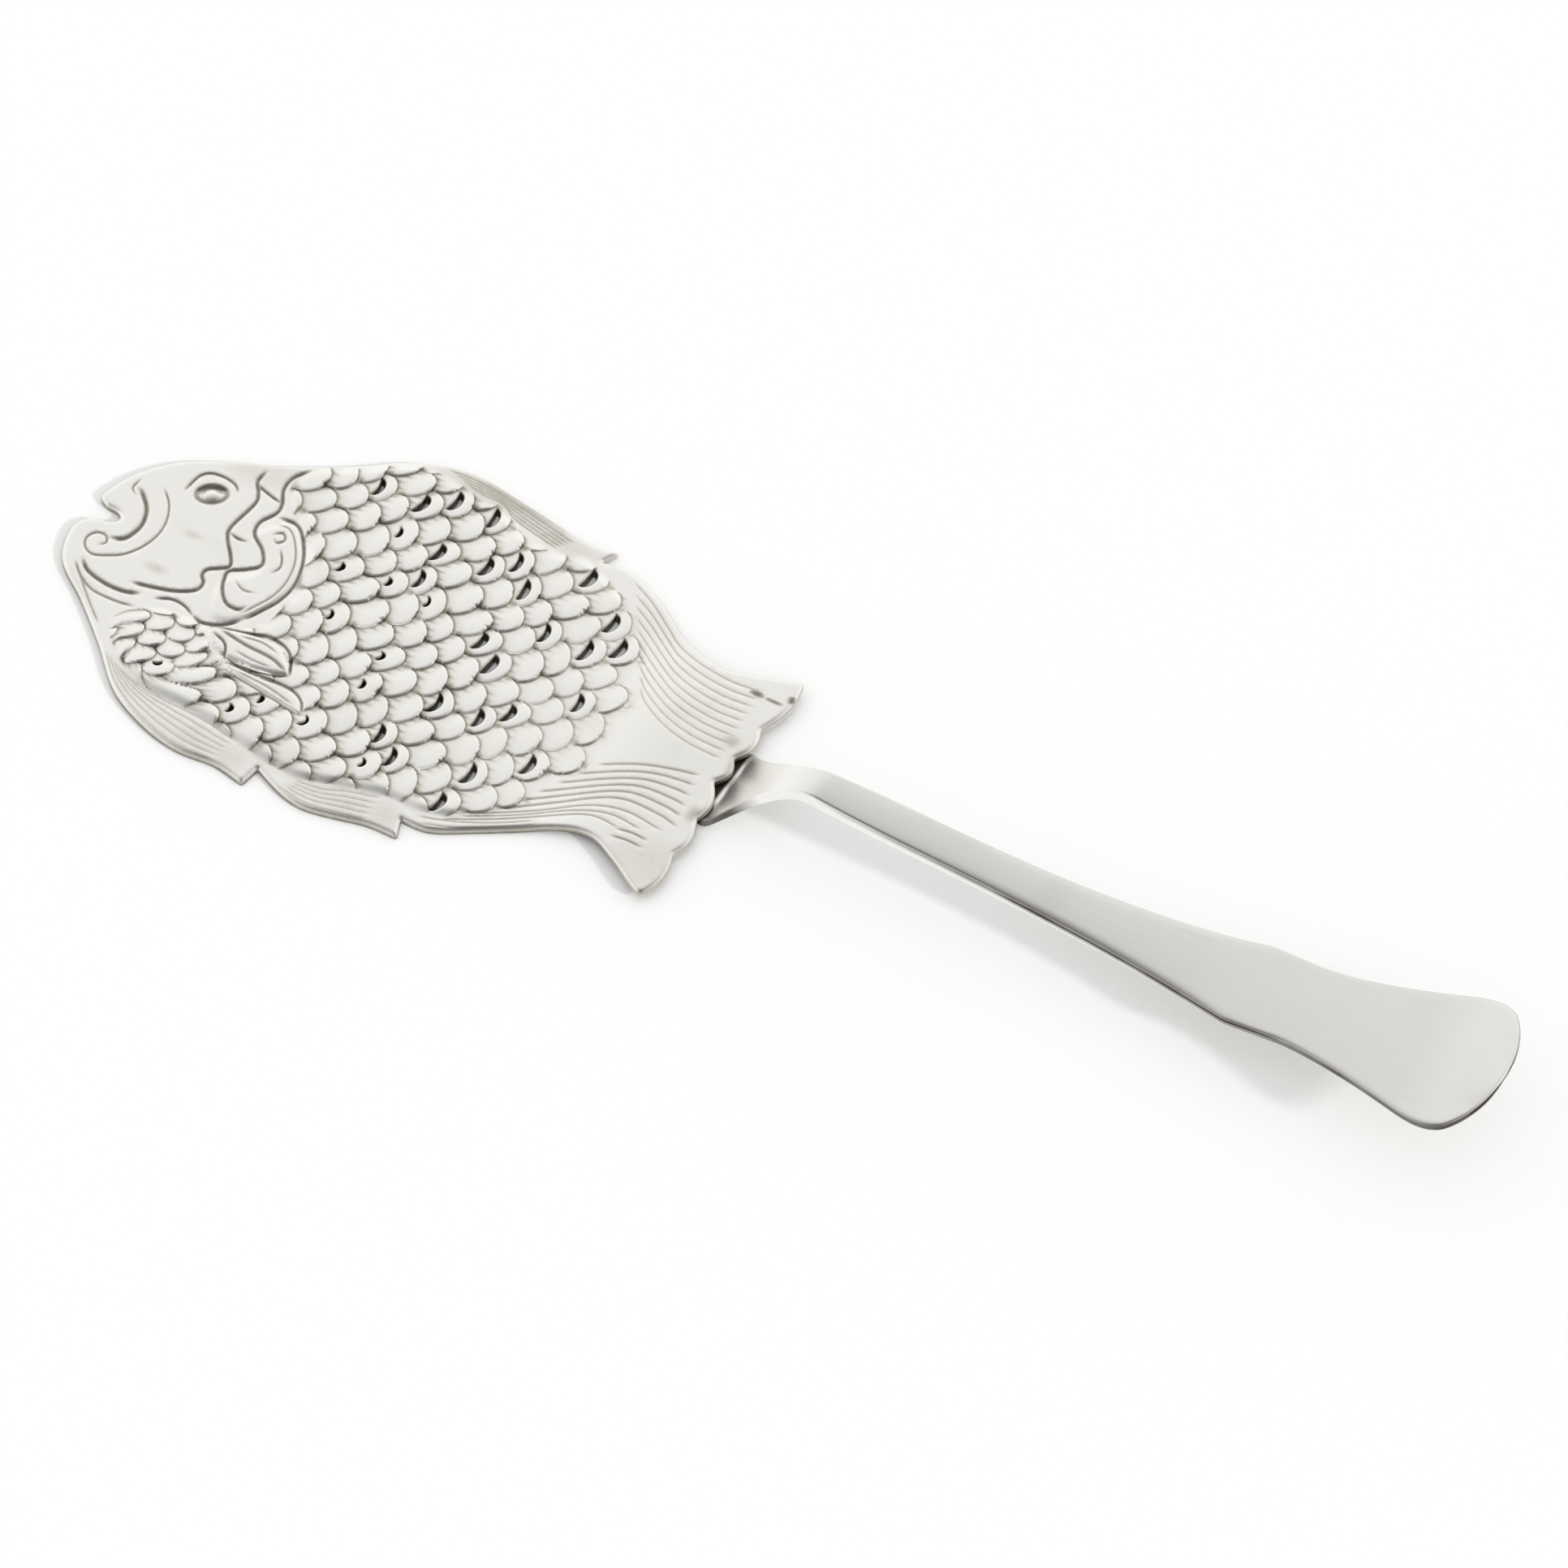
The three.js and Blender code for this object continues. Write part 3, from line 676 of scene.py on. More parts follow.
def underside_loops(node):
    """The edges of the node's underside in drawing millimetres, the outline first."""
    copy = bmesh.new()
    copy.from_mesh(node.data)
    bmesh.ops.remove_doubles(copy, verts=copy.verts, dist=WELD)
    copy.verts.index_update()
    following = {}
    for face in copy.faces:
        if face.normal.z > FACING_DOWN:
            continue
        for corner in face.loops:
            if any(other.normal.z > FACING_DOWN for other in corner.edge.link_faces):
                following[corner.link_loop_next.vert.index] = corner.vert.index
    copy.verts.ensure_lookup_table()
    loops = []
    while following:
        start_at, step_to = following.popitem()
        chain = [start_at]
        while step_to != start_at:
            chain.append(step_to)
            step_to = following.pop(step_to)
        places = np.array([copy.verts[i].co[:2] for i in chain])
        loops.append((places - (TAIL_CHORD, CENTRE_LINE)) / MM)
    copy.free()
    return sorted(loops, key=len, reverse=True)


def turns(loop):
    """How far a closed loop bends at each point, to the left as positive."""
    arrive = loop - np.roll(loop, 1, axis=0)
    leave = np.roll(loop, -1, axis=0) - loop
    left = arrive[:, 0] * leave[:, 1] - arrive[:, 1] * leave[:, 0]
    return np.arctan2(left, (arrive * leave).sum(1))


def rounded(loop):
    """The outline with its pointed tips filed round."""
    for tip_at in np.flatnonzero(turns(loop) > TIP_BEND):
        steps = TAIL_TIP_STEPS if loop[tip_at, 0] > OGEE_END else FIN_TIP_STEPS
        reach = np.arange(-steps, steps + 1)
        share = ((reach + steps) / (2 * steps))[:, None]
        first, middle, last = loop[tip_at - steps], loop[tip_at], loop[(tip_at + steps) % len(loop)]
        bend = first * (1 - share) ** 2 + 2 * middle * share * (1 - share) + last * share ** 2
        loop[(tip_at + reach) % len(loop)] = bend
    return loop


def smooth_outline(loop):
    """The sawn outline, with its corners kept sharp and its curves made even."""
    bends = np.abs(turns(loop))
    loop = loop[bends > STRAIGHT_BEND]
    corners = np.flatnonzero(bends[bends > STRAIGHT_BEND] > CORNER_BEND)
    runs = []
    for number, start_at in enumerate(corners):
        stop_at = corners[(number + 1) % len(corners)]
        count = (stop_at - start_at) % len(loop) + 1
        run = loop[(start_at + np.arange(count)) % len(loop)]
        runs.append(smooth(run, OUTLINE_STEP)[:-1])
    return rounded(np.vstack(runs))


def half_moon(loop, bow):
    """A piercing with its round side to the tail, in the place of a plainer one."""
    low, high = loop.min(0), loop.max(0)
    margin = (high - low) * (1 - PIERCING_SIZE) / 2
    low, high = low + margin, high - margin
    reach = (high[1] - low[1]) / 2
    angle = np.linspace(-math.pi / 2, math.pi / 2, PIERCING_POINTS)
    rim_x = low[0] + (high[0] - low[0]) * np.cos(angle)
    rim_y = low[1] + reach + reach * np.sin(angle)
    back = np.sin(angle[-2:0:-1])
    back_x = low[0] + bow * (1 - back ** 2)
    back_y = low[1] + reach + reach * back
    return np.vstack([np.column_stack([rim_x, rim_y]), np.column_stack([back_x, back_y])])[::-1]


cad_loops = underside_loops(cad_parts["fish_blade"])
outline = np.clip(smooth_outline(cad_loops[0]), cad_loops[0].min(0), cad_loops[0].max(0))
draw = np.random.default_rng(PIERCING_SEED)
piercings = [half_moon(loop, draw.uniform(*PIERCING_BOW)) for loop in cad_loops[1:]]

# Where the plate steps up over the tongue
ogee = np.linspace(0, 1, OGEE_POINTS)
ogee_x = OGEE_START + (OGEE_END - OGEE_START) * (1.5 * ogee * (1 - ogee) + ogee ** 3)
ogee_z = TAIL_LIFT * (3 * ogee ** 2 - 2 * ogee ** 3)

# Lines and forms of the chasing: each line has its points, its width and its depth
chased = []


def chase(points, width=0.42, depth=0.15):
    """Adds a line through the points."""
    chased.append((smooth(points, LINE_STEP), width, depth))


def spread_along(points, count):
    """A set number of places along a curve through the points."""
    curve = smooth(points, LINE_STEP)
    share = np.linspace(0, 1, len(curve))
    places = np.linspace(0, 1, count)
    return np.column_stack([np.interp(places, share, curve[:, i]) for i in (0, 1)])


def fan(first, last, count, width=0.26, depth=0.06):
    """Lines that spread evenly from one curve to another."""
    first = spread_along(first, FAN_POINTS)
    last = spread_along(last, FAN_POINTS)
    for share in np.linspace(0, 1, count):
        chase(first * (1 - share) + last * share, width, depth)


# Lips, chin and brow
chase([(-132, 12), (-129.3, 9.3), (-127.3, 5.3), (-126.8, 1.3), (-127.7, -2.7), (-129.7, -6),
       (-132, -7.7), (-135, -9), (-137.3, -8), (-138.3, -6), (-137.4, -4), (-135.4, -3.7),
       (-134.4, -5.2), (-135.4, -6.5)])
chase([(-136.3, 9.7), (-134.8, 8.7), (-132.3, 6), (-131, 2.7), (-131, 0), (-132, -2.7), (-134.3, -3.7)],
      0.75, 0.28)
chase([(-137.3, 12), (-137.5, 9.3), (-136, 8)], 0.4, 0.14)
chase([(-136, -11), (-133.3, -13), (-128.7, -14.1), (-124.7, -14), (-121.7, -13)], 0.7, 0.26)
chase([(-137, -12), (-134, -14.7), (-130, -16.7), (-124.7, -16.9), (-121, -16.3)], 0.45, 0.14)
chase([(-136.4, -12.6), (-130.2, -18.4), (-124.6, -23.2)], 0.4, 0.1)
chase([(-128.5, 13.7), (-128, 18), (-126.3, 19.9), (-123.3, 20.3), (-120.7, 19.7), (-119.2, 18.3)],
      0.5, 0.18)

# Gill lines, and the frilled cover behind them
chase([(-117.3, 25.7), (-117.5, 22.7), (-115.7, 20), (-114.9, 17.3), (-115.7, 10), (-114.7, 7.3), (-112, 4),
       (-110.7, 2), (-111, 0.7), (-113.7, -1.3), (-114, -3), (-112.7, -4.7), (-113, -7), (-116, -9),
       (-120, -10.3), (-124.5, -11.3)], 0.65, 0.24)
chase([(-110, 30), (-112, 26.7), (-112, 23.3), (-110.3, 20), (-110, 17.3), (-111.5, 13.7), (-110.7, 10.7),
       (-107.3, 8), (-105.3, 4.7), (-107.3, 2.3), (-110, 0.3), (-109.7, -2), (-108.3, -4.7), (-106, -7),
       (-103.3, -7.3), (-102.3, -6)], 0.65, 0.24)
chase([(-117.3, 22), (-114, 20.9), (-110.5, 20)], 0.5, 0.2)
chase([(-115, 8.7), (-113, 8.2), (-111, 8.3)], 0.5, 0.2)
chase([(-108.7, 16.7), (-104.7, 16.7), (-101.3, 13.3), (-98.7, 8.7), (-97.3, 3.3), (-97.7, -1.3),
       (-99.3, -5.3), (-101, -8.7)], 0.6, 0.24)
chase([(-108.2, 15), (-105.3, 14.9), (-102.5, 12.2), (-100.1, 8.2), (-98.9, 3.3), (-99.2, -1),
       (-100.7, -4.8), (-102.3, -8)], 0.4, 0.12)
chase([(-110, -12.7), (-107.3, -13.3), (-104, -12), (-101.3, -9.3)], 0.6, 0.24)
chase([(-107.6, 12.2), (-106, 13.4), (-104.8, 12.2), (-105.6, 10.8), (-106.8, 11.4)], 0.45, 0.16)
chase([(-104.2, 9.6), (-102.6, 7.6), (-101.9, 5.5), (-102.6, 3.6)], 0.45, 0.16)
chase([(-107.4, -1.4), (-105, -2.6), (-102.6, -2.2)], 0.4, 0.12)
chase([(-118.6, -12.6), (-115.6, -11.2), (-112.6, -11.4), (-110, -12.7)], 0.5, 0.2)

# Leaves of the pectoral fin
chase([(-104, -12.7), (-98, -11.3), (-93.3, -10.3), (-88.7, -12), (-85.7, -16.7)], 0.5, 0.2)
chase([(-85.7, -16.7), (-90, -18.7), (-95.3, -19.3), (-98.7, -18.7)], 0.5, 0.2)
chase([(-103, -13.4), (-97, -14.4), (-91, -14.8), (-87, -16.2)], 0.6, 0.16)
chase([(-99, -13), (-94.5, -12.4), (-90.5, -13.2)], 0.4, 0.1)
chase([(-98, -16.6), (-93.5, -17), (-89.6, -16.8)], 0.4, 0.1)
chase([(-104, -14.7), (-100.7, -16), (-98.7, -19.3)], 0.5, 0.2)
chase([(-98.7, -19.8), (-91, -19.4), (-84.2, -19.3), (-80.6, -20.9), (-78.8, -24)], 0.45, 0.16)
chase([(-97, -21.4), (-90, -22.6), (-84, -23.5), (-79.2, -24.2)], 0.4, 0.14)
chase([(-95, -20.8), (-88, -21.2), (-81.5, -22.6)], 0.4, 0.1)

# Rays of the fins
fan([(-87, 43.4), (-82, 43.7), (-76, 43.2), (-69, 41.8), (-56, 39)],
    [(-81.5, 41.7), (-78, 41.2), (-73.5, 41.0), (-68.6, 38.6), (-58, 36.2)], 5, 0.3, 0.09)
fan([(-119.6, -28.4), (-113.4, -34.4), (-104.6, -39), (-95.6, -41.4), (-87, -41.2)],
    [(-114.4, -30.8), (-110.6, -32.4), (-105, -33.3), (-95, -33.8), (-86, -35.4)], 6)
fan([(-73, -40.6), (-67, -41.6), (-60.7, -40.6), (-54.4, -39.2)],
    [(-72, -38), (-66, -37.2), (-61, -35.2), (-55, -33.6)], 5, 0.3, 0.06)

# Flowing lines of the tail
fan([(-41, 36.2), (-35.4, 33.4), (-29.9, 29.6), (-25.1, 26.2), (-18.9, 23.8), (-12.1, 22.8), (-5.4, 23.4)],
    [(-27, 14), (-23.7, 10.7), (-18, 7.4), (-11.7, 5.6), (-4.1, 5.2)], 10, 0.36, 0.06)
fan([(-24, -7), (-16.7, -3.4), (-10.7, -1.4), (-5.5, -0.2)],
    [(-35, -25), (-25.7, -18.4), (-16.2, -12.6), (-7.6, -12.2), (-2.8, -13.2)], 6, 0.5, 0.08)
fan([(-37, -27.4), (-28, -21.8), (-20, -16.6), (-13, -14.6), (-4.8, -15.4)],
    [(-43, -32.6), (-34.4, -27.6), (-25, -21.8), (-18.4, -18.6), (-12, -18.8)], 3, 0.34, 0.08)
for lower_by in (4.6, 6.6):
    chase([(-13, -14.6 - lower_by), (-9.5, -14 - lower_by), (-5.8, -14.2 - lower_by)], 0.4, 0.11)
fan([(-47, -34), (-40.3, -31.6), (-33.7, -28.2), (-27, -24)],
    [(-46, -35.2), (-40, -33), (-33.2, -29), (-26, -24.6)], 2, 0.32, 0.07)

SCALE_FIELD = [
    (-110.5, 30.6), (-103, 35), (-94, 41.2), (-86, 42), (-78, 40.4), (-73.4, 40.6), (-69.4, 38.6),
    (-65, 36.2), (-57.5, 35.6), (-53, 37.2), (-47.4, 35.4), (-36, 29.5), (-28.5, 20), (-24, 8),
    (-24, -5), (-27.5, -16.5), (-35, -28), (-46, -32.6), (-55, -33), (-63, -35), (-72, -37.4),
    (-82, -36.3), (-96, -33.5), (-110, -32.4), (-119, -27), (-123.5, -20.5), (-117, -14.5),
    (-104, -12.5), (-97.5, -8), (-96.8, 1), (-99.5, 11), (-106, 17.4), (-111, 23),
]
GILL_COVER = [
    (-106.5, 16.6), (-101, 12.6), (-97.8, 6), (-97.3, 0), (-98.8, -5.5), (-102.6, -10.6),
    (-106.5, -11.6), (-109, -8.5), (-110.2, -2), (-105.8, 2.5), (-108, 7.5), (-111, 11),
]
UPPER_LEAF = [
    (-105.6, -13.2), (-97, -10.6), (-90.5, -11), (-85.6, -16.6), (-92, -19), (-100, -19.2), (-104.8, -17),
]
LOWER_LEAF = [
    (-100, -18.8), (-92, -19.3), (-84.5, -19), (-80.4, -20.4), (-78.4, -24.4), (-84, -23.8), (-91, -22.8),
    (-96.4, -21.6),
]
EYE = np.array([-123.4, 15.4])
EYE_HALF = np.array([3.0, 2.4])
EYE_TILT = math.radians(29.8)
EYE_POINTS = 48
EYE_RISE = 0.38
PUPIL_X, PUPIL_Y = 0.05, -0.3
PUPIL_SIZE = 0.5
PUPIL_RISE = 0.16
LID_FULLNESS = 1.4
LID_RING = 0.75
LID_WIDTH = 0.4
LID_MIDDLE = 0.3
LID_FADE = 1.4
LOWER_LID_WIDTH = 0.18
LOWER_LID_STAIN = 0.6
LID_DEPTH = 0.16

# Stains: the middle, half length, half width and strength of each
STAINS = [
    (-121, 4.7, 2.6, 1.2, 0.2), (-122.7, -6, 3.4, 1.6, 0.2), (-6.3, 22.6, 1.8, 0.9, 0.9),
    (-2.6, 22.4, 2.2, 0.45, 0.8), (0.2, 24.4, 0.9, 1.1, 0.8), (-1.5, 6, 1.6, 5, 0.25),
    (-2, -9, 1.8, 3, 0.3), (-4.5, 10, 2.5, 2, 0.25), (-70, 43, 22, 5, 0.3), (-95, -39, 15, 5, 0.12),
    (-61, -38, 11, 5, 0.14), (-3, -23, 11, 8, 0.16), (-14, -2, 20, 30, 0.06), (-119, 26, 10, 6, 0.14),
    (-86, -39, 6, 4, 0.16), (-78, -34, 13, 5, 0.12), (-53, -37, 5, 4, 0.16), (-56, 38, 8, 3, 0.16),
]

# How hand work strays from the even grid of scales: the pitches and phase of each wave
RIPPLE = 0.5
RIPPLE_WAVES = ((0.21, 0.25, 0.0), (0.24, -0.2, 0.8))
STRAY = 0.34
STRAY_WAVES = ((2.4, 3.7, 0.0), (1.3, 5.1, 1.0))
CHIN = (-111.0, -22.0)
CHIN_TURN = math.radians(48)
CHIN_REACH = 11.0
CHIN_CROWDING = 0.4
SEARCH_STEPS = 30
SEARCH_SHARE = 0.6


def sine(value):
    """The sine of a plain number, an array or a signal."""
    return value.sin() if isinstance(value, Signal) else np.sin(value)


def waves(first, second, shapes, height):
    """A wave of each shape over two coordinates."""
    return [sine(first * along + second * across + phase) * height for along, across, phase in shapes]


def warped(x, y):
    """Where a place on the blade lies on the even grid of scales. On the blade the grid ripples, and
    under the chin it is turned and crowded."""
    across = x - CHIN[0]
    up = y - CHIN[1]
    fade = 1 / (1 + ((across * across + up * up) / CHIN_REACH ** 2) ** 3)
    turn_by = fade * CHIN_TURN
    cosine = sine(turn_by + math.pi / 2)
    crowding = fade * CHIN_CROWDING + 1
    x = (across * cosine - up * sine(turn_by)) * crowding + CHIN[0]
    y = (across * sine(turn_by) + up * cosine) * crowding + CHIN[1]
    ripple_x, ripple_y = waves(x, y, RIPPLE_WAVES, RIPPLE)
    return x + ripple_x, y + ripple_y


def strayed(row, column):
    """How far each scale strays from its place in the grid."""
    return waves(row, column, STRAY_WAVES, STRAY)


def on_blade(x, y):
    """The place on the blade of a place on the even grid, found step by step."""
    goal = np.array([x, y])
    place = goal
    for _ in range(SEARCH_STEPS):
        place = place + (goal - warped(*place)) * SEARCH_SHARE
    return place.T


def scale_edges(offset):
    """Points along the round edge of every scale, moved out by the offset."""
    width, pitch, bulge = SCALES["Scale Width"], SCALES["Row Pitch"], SCALES["Scale Bulge"]
    angle = np.linspace(-math.pi / 2, math.pi / 2, SCALE_POINTS)[1:-1]
    normal = np.column_stack([np.cos(angle), np.sin(angle)])
    points = []
    for row in SCALE_ROWS:
        for column in SCALE_COLUMNS:
            middle = np.array([-SCALES["Rear Row"] - bulge - row * pitch, (column + row % 2 / 2) * width])
            middle = middle + strayed(row, column)
            points.append(middle + normal * (bulge, width / 2) + normal * offset)
    return on_blade(*np.vstack(points).T)


def path_gap(points, path):
    """Each point's distance to a path, and the share of the path at its nearest place."""
    run = np.diff(path, axis=0)
    away = points[:, None] - path[None, :-1]
    share = np.clip((away * run).sum(2) / (run ** 2).sum(1), 0, 1)
    gap = np.linalg.norm(away - share[..., None] * run, axis=2)
    nearest = gap.argmin(1)
    every = np.arange(len(points))
    return gap[every, nearest], (nearest + share[every, nearest]) / len(run)


FORM_STEP = 1.0
BATCH = 4000


def depth_inside(points, corners, reach):
    """How far each point lies inside a closed curve, negative outside it, exact up to the reach."""
    curve = smooth(corners, FORM_STEP, closed=True)
    closed = np.vstack([curve, curve[:1]])
    depth = np.full(len(points), -reach)
    near = np.flatnonzero(((points > curve.min(0) - reach) & (points < curve.max(0) + reach)).all(1))
    for part in np.array_split(near, len(near) // BATCH + 1):
        gap = path_gap(points[part], closed)[0]
        x, y = points[part, 0, None], points[part, 1, None]
        (from_x, from_y), (to_x, to_y) = closed[:-1].T, closed[1:].T
        passed = (from_y > y) != (to_y > y)
        rise = np.where(to_y == from_y, 1, to_y - from_y)
        crossing = from_x + (y - from_y) / rise * (to_x - from_x)
        inside = (passed & (x < crossing)).sum(1) % 2 == 1
        depth[part] = np.where(inside, gap, -gap)
    return depth


def shifted(path, tangent, offset):
    """A path's points moved to its left."""
    tangent = tangent / np.linalg.norm(tangent, axis=1)[:, None]
    return path + np.column_stack([-tangent[:, 1], tangent[:, 0]]) * offset


def beside(path, offset):
    """A line that runs beside an open path."""
    return shifted(path, np.gradient(path, axis=0), offset)


def inset(loop, offset):
    """A loop that runs inside the metal, along its edge."""
    return shifted(loop, np.roll(loop, -1, axis=0) - np.roll(loop, 1, axis=0), offset)


def crowded_out(points, gap, taken):
    """Drops each point that lies too near to one before it."""
    kept = []
    for x, y in points:
        cell_x, cell_y = int(x // gap), int(y // gap)
        near = (
            other
            for column in (cell_x - 1, cell_x, cell_x + 1)
            for row in (cell_y - 1, cell_y, cell_y + 1)
            for other in taken.get((column, row), ())
        )
        if all((x - near_x) ** 2 + (y - near_y) ** 2 > gap * gap for near_x, near_y in near):
            taken.setdefault((cell_x, cell_y), []).append((x, y))
            kept.append((x, y))
    return kept


def staggered(low, high, step):
    """Points in staggered rows over a box."""
    rows = np.arange(low[1], high[1], step * math.sqrt(0.75))
    columns = np.arange(low[0], high[0], step)
    return np.array([(x + (number % 2) * step / 2, y) for number, y in enumerate(rows) for x in columns])


def marks(rings):
    """The points of closed curves and the middles between them."""
    middles = [(ring + np.roll(ring, -1, axis=0)) / 2 for ring in rings]
    return np.vstack([*rings, *middles])


# Points of the plate: along its edges, its lines, the eye and the scales, and then all over
CLEAR = 0.13
EDGE_RINGS = (0.14, 0.32, 0.55, 0.85)
LINE_RINGS = (0.28, 0.56, 0.95)
EYE_RINGS = (0.2, 0.4, 0.6, 0.75, 0.9, 1.0, 1.1, 1.25)
SCALE_RINGS = (-0.1, 0.1, -0.32, 0.34, -0.7, 0.75)
SCALE_MARGIN = 0.5
FORM_REACH = 2.0

loops = [outline]
for loop in piercings:
    root_x, root_y = loop.mean(0)
    row = round((-SCALES["Rear Row"] - SCALES["Scale Bulge"] - root_x) / SCALES["Row Pitch"])
    column = round(root_y / SCALES["Scale Width"] - row % 2 / 2)
    loops.append(on_blade(*(loop + strayed(row, column)).T))
groups = []
for offset in EDGE_RINGS:
    groups.extend(inset(loop, offset) for loop in loops)
for line, width, _ in chased:
    groups.append(line)
    for share in LINE_RINGS:
        groups.extend(beside(line, side * width * share) for side in (-1, 1))
eye_angle = np.linspace(0, 2 * math.pi, EYE_POINTS, endpoint=False)
eye_edge = np.column_stack([np.cos(eye_angle), np.sin(eye_angle)]) * EYE_HALF
eye_along = (math.cos(EYE_TILT), math.sin(EYE_TILT))
eye_axes = np.array([eye_along, (-eye_along[1], eye_along[0])])
groups.extend(EYE + eye_edge * share @ eye_axes for share in EYE_RINGS)
edge_points = np.vstack([scale_edges(offset) for offset in SCALE_RINGS])
groups.append(edge_points[depth_inside(edge_points, SCALE_FIELD, FORM_REACH) > -SCALE_MARGIN])
low, high = outline.min(0), outline.max(0)
groups.append(staggered(low, high, FILL_STEP))
taken = {}
crowded_out(marks(loops), CLEAR, taken)
top_points = crowded_out(np.vstack(groups), CLEAR, taken)

SAME_PLACE = 1e-7
WHOLE_HULL = 0


def triangles_of(places, rings):
    """The triangles inside the outline and outside the piercings, counter-clockwise."""
    stops = np.cumsum([0, *map(len, rings)])
    faces = [list(range(first, last)) for first, last in zip(stops, stops[1:])]
    closed = [faces[0], *(face[::-1] for face in faces[1:])]
    made = delaunay_2d_cdt([Vector(place) for place in places], [], closed, WHOLE_HULL, SAME_PLACE, True)
    spots, _, triangles, sources, _, owners = made
    flat = np.array([tuple(spot) for spot in spots])
    kept = np.array([triangle for triangle, owner in zip(triangles, owners) if owner == [0]])
    corner = flat[kept]
    arm, other = corner[:, 1] - corner[:, 0], corner[:, 2] - corner[:, 0]
    backward = arm[:, 0] * other[:, 1] - arm[:, 1] * other[:, 0] < 0
    kept[backward] = kept[backward, ::-1]
    used, kept = np.unique(kept, return_inverse=True)
    number = {source: new for new, old in enumerate(used) for source in sources[old]}
    return flat[used], kept.reshape(-1, 3), [[number[i] for i in face] for face in faces]


def eased(share):
    """A soft start and a soft stop between 0 and 1."""
    share = np.clip(share, 0, 1)
    return share * share * (3 - 2 * share)


# The upper face: the form of the plate, and how far each point is punched, stained, painted with shade and
# cut
FIELD_REACH = 4.0
FIELD_FADE = 2.2
# How softly the scales' tarnish and painted shade fade in at the field's border
STAIN_AND_SHADE_FADE = 0.7
RELIEF_PLACES = (-60, -26)
RELIEF = (1, 0.45)
RAISED_FORMS = ((GILL_COVER, 0.25, 1.4), (UPPER_LEAF, 0.6, 1.6), (LOWER_LEAF, 0.55, 1.2))
FORM_COVER = 4
RIM_SAMPLES = 8

top, top_faces, top_rings = triangles_of(np.vstack([*loops, top_points]), loops)
x, y = top.T
field_depth = depth_inside(top, SCALE_FIELD, FIELD_REACH)
rearward = np.interp(x, RELIEF_PLACES, RELIEF)
field = eased(field_depth / FIELD_FADE) * rearward
stain_and_shade_reach = eased(field_depth / STAIN_AND_SHADE_FADE) * rearward
top_height = PLATE + np.interp(x, ogee_x, ogee_z)
for corners, rise, soft in RAISED_FORMS:
    raised = eased(depth_inside(top, corners, FORM_REACH) / soft)
    field = field * (1 - eased(raised * FORM_COVER))
    stain_and_shade_reach = stain_and_shade_reach * (1 - eased(raised * FORM_COVER))
    top_height = top_height + raised * rise

tarnish_and_shade = np.zeros(len(top))
cut = np.zeros(len(top))
for line, width, depth in chased:
    near = np.flatnonzero(((top > line.min(0) - width) & (top < line.max(0) + width)).all(1))
    gap, at = path_gap(top[near], line)
    length = np.linalg.norm(np.diff(line, axis=0), axis=1).sum()
    taper = np.clip(np.minimum(at, 1 - at) * length / LINE_TAPER + LINE_END, 0, 1)
    profile = np.clip(1 - (gap / width) ** 2, 0, 1) ** 2 * taper
    cut[near] = np.maximum(cut[near], profile * depth)
    darkness = LINE_TARNISH * min(1, LINE_FAINT + depth * LINE_DARKENING)
    tarnish_and_shade[near] = np.maximum(tarnish_and_shade[near], profile * darkness)

eye_x, eye_y = ((top - EYE) @ eye_axes.T / EYE_HALF).T
eye_ring = np.hypot(eye_x, eye_y)
top_height = top_height + EYE_RISE * np.clip(1 - eye_ring ** 2, 0, 1)
pupil = np.hypot(eye_x - PUPIL_X, eye_y - PUPIL_Y) / PUPIL_SIZE
top_height = top_height + PUPIL_RISE * np.sqrt(np.clip(1 - pupil ** 2, 0, 1))
lid = np.clip(LID_FULLNESS - ((eye_ring - LID_RING) / LID_WIDTH) ** 2, 0, 1)
lid = lid * np.clip(LID_MIDDLE + eye_y * LID_FADE, 0, 1)
lower_lid = np.clip(1 - ((eye_ring - 1) / LOWER_LID_WIDTH) ** 2, 0, 1) * LOWER_LID_STAIN
lids = np.maximum(lid, lower_lid)
cut = np.maximum(cut, lids * LID_DEPTH)
tarnish_and_shade = np.maximum(tarnish_and_shade, lids)

rim = KDTree(sum(map(len, loops)) * RIM_SAMPLES)
for number, loop in enumerate(loops):
    for share in np.arange(RIM_SAMPLES) / RIM_SAMPLES:
        for place in loop * (1 - share) + np.roll(loop, -1, axis=0) * share:
            rim.insert((*place, 0), number)
rim.balance()
nearest = np.array([rim.find((*place, 0))[1:] for place in top])
on_outline = nearest[:, 0] == 0
edge_gap = nearest[:, 1]
roll = np.where(on_outline, EDGE_ROLL, PIERCING_ROLL)
drop = np.where(on_outline, EDGE_DROP, PIERCING_DROP)
top_height = top_height - cut - drop * (1 - np.clip(edge_gap / roll, 0, 1)) ** EDGE_FULLNESS
# Partly tarnish and partly painted shade: a thin dark rim along the outline, darker at the tail's rear, and
# dark rims and walls in the piercings for the shade in the holes
rim_tarnish_and_shade = np.where(on_outline, np.interp(x, RIM_SHADE_PLACES, RIM_TARNISH_AND_SHADE), PIERCING_TARNISH_AND_SHADE)
tarnish_and_shade = np.maximum(tarnish_and_shade, rim_tarnish_and_shade * (1 - np.clip(edge_gap / RIM_SHADE_WIDTH, 0, 1)))
for spot_x, spot_y, half_x, half_y, amount in STAINS:
    spread = ((x - spot_x) / half_x) ** 2 + ((y - spot_y) / half_y) ** 2
    tarnish_and_shade = np.maximum(tarnish_and_shade, amount * np.clip(1 - spread, 0, 1))

